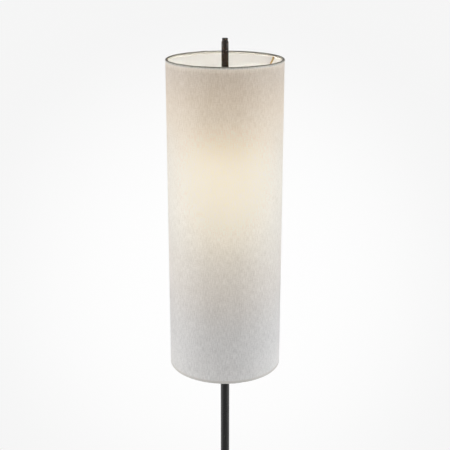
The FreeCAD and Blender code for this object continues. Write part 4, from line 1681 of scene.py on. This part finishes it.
@dataclass(frozen=True)
class Floor:
    """A plain pale floor under the base, which fades into the room further out."""

    radius: float = 1.15
    solid_radius: float = 0.45
    colour: Colour = (0.8, 0.8, 0.8)
    lift: float = 0.45
    segments: int = 96
    rings: int = 12

    def build(self) -> bpy.types.Object:
        """Makes the floor as a round grid: a centre point, and rings whose radius grows evenly.

        Returns:
            The floor.
        """
        angles = np.arange(self.segments) * (2 * math.pi / self.segments)
        radii = np.linspace(0, self.radius, self.rings + 1)[1:, None]
        level = np.zeros((self.rings, self.segments))
        rings = np.stack([radii * np.cos(angles), radii * np.sin(angles), level], axis=-1)
        points = np.concatenate([np.zeros((1, 3)), rings.reshape(-1, 3)])
        column = np.arange(self.segments)
        after = (column + 1) % self.segments
        middle = np.stack([np.zeros_like(column), 1 + column, 1 + after], axis=-1)
        start = 1 + self.segments * np.arange(self.rings - 1)[:, None]
        outer = start + self.segments
        quads = np.stack([start + column, outer + column, outer + after, start + after], axis=-1)
        mesh = bpy.data.meshes.new("floor")
        mesh.from_pydata(points.tolist(), [], middle.tolist() + quads.reshape(-1, 4).tolist())
        floor = bpy.data.objects.new("floor", mesh)
        floor.data.materials.append(self.material())
        bpy.context.scene.collection.objects.link(floor)
        return floor

    def material(self) -> bpy.types.Material:
        """A matt floor that fades out by the distance from its middle, and can't be seen from below.

        Returns:
            The floor's material.
        """
        made = bpy.data.materials.new("floor_paint")
        made.use_nodes = True
        made.node_tree.nodes.clear()
        wires = Wiring(made.node_tree)
        place = wires.add("ShaderNodeTexCoord").outputs["Object"]
        reach = wires.add("ShaderNodeVectorMath", operation="LENGTH")
        wires.feed(reach.inputs[0], place)
        paint = wires.add("ShaderNodeBsdfDiffuse")
        mottle = wires.noise(place, 9.0, 3.0, 0.5)
        wires.feed(paint.inputs["Color"], wires.blend(mottle, self.colour, times(self.colour, 0.985)))
        rays = wires.add("ShaderNodeLightPath").outputs
        lift = wires.add("ShaderNodeEmission")
        shown = wires.math("MAXIMUM", rays["Is Camera Ray"], rays["Is Glossy Ray"])
        wires.feed(lift.inputs["Strength"], wires.math("MULTIPLY", shown, self.lift))
        pale = wires.add("ShaderNodeAddShader")
        wires.feed(pale.inputs[0], paint.outputs[0])
        wires.feed(pale.inputs[1], lift.outputs[0])
        clear = wires.add("ShaderNodeBsdfTransparent")
        mixed = wires.add("ShaderNodeMixShader")
        fade = wires.span(reach.outputs["Value"], self.solid_radius, self.radius * 0.98)
        back = wires.add("ShaderNodeNewGeometry").outputs["Backfacing"]
        below = wires.math("MULTIPLY", back, rays["Is Camera Ray"])
        wires.feed(mixed.inputs[0], wires.math("MAXIMUM", fade, below))
        wires.feed(mixed.inputs[1], pale.outputs[0])
        wires.feed(mixed.inputs[2], clear.outputs[0])
        wires.feed(wires.add("ShaderNodeOutputMaterial").inputs["Surface"], mixed.outputs[0])
        return made


def mirrored_pair(light: SoftBox) -> tuple[SoftBox, SoftBox]:
    """A light at the left and its mirror image at the right.

    Args:
        light: the left light.

    Returns:
        The two lights, each with its side in its name.
    """
    x, y, z = light.place
    right = replace(light, name=f"right_{light.name}", place=(-x, y, z))
    return replace(light, name=f"left_{light.name}"), right


@dataclass
class Studio:
    """The camera, the lights, the room and the floor."""

    view: Viewpoint = field(default_factory=Viewpoint)
    room: Surroundings = field(default_factory=Surroundings)
    floor: Floor = field(default_factory=Floor)
    low_power: float = 4.0
    high_power: float = 11.5
    corner_power: float = 9.0
    front_power: float = 1.5
    back_power: float = 3.0

    def lights(self) -> tuple[SoftBox, ...]:
        """The soft lights: two pairs at the sides, one at the front corners, one before and one behind.

        Returns:
            The lights.
        """
        low = SoftBox("low", (-1.25, -0.15, 0.35), (0.0, 0.0, 0.9), 1.3, 0.7, self.low_power)
        high = SoftBox("high", (-1.25, -0.15, 1.0), (0.0, 0.0, 1.0), 1.3, 0.7, self.high_power)
        corner = SoftBox("corner", (-0.9, -1.0, 0.22), (0.0, 0.0, 0.75), 0.9, 0.4, self.corner_power, False)
        front = SoftBox("front_light", (0.0, -1.9, 0.35), (0.0, 0.0, 0.9), 1.6, 0.7, self.front_power, False)
        back = SoftBox("back_light", (0.0, 2.2, 1.0), (0.0, 0.0, 0.9), 1.6, 1.2, self.back_power)
        return (*mirrored_pair(low), *mirrored_pair(high), *mirrored_pair(corner), front, back)

    def build(self) -> None:
        """Makes everything that isn't the lamp."""
        self.view.build()
        self.room.build(self.view)
        self.floor.build()
        for light in self.lights():
            light.build()
        bpy.context.scene.view_settings.view_transform = "Standard"


def main() -> None:
    """Builds the studio and the lamp in order."""
    logging.basicConfig(level=logging.INFO, format="%(message)s")
    Studio().build()
    dresser = Dresser(finishes())
    Base().build(dresser)
    Stem().build(dresser)
    LampHolders().build(dresser)
    Shade().build(dresser, other_cloths())


if __name__ == "__main__":
    main()
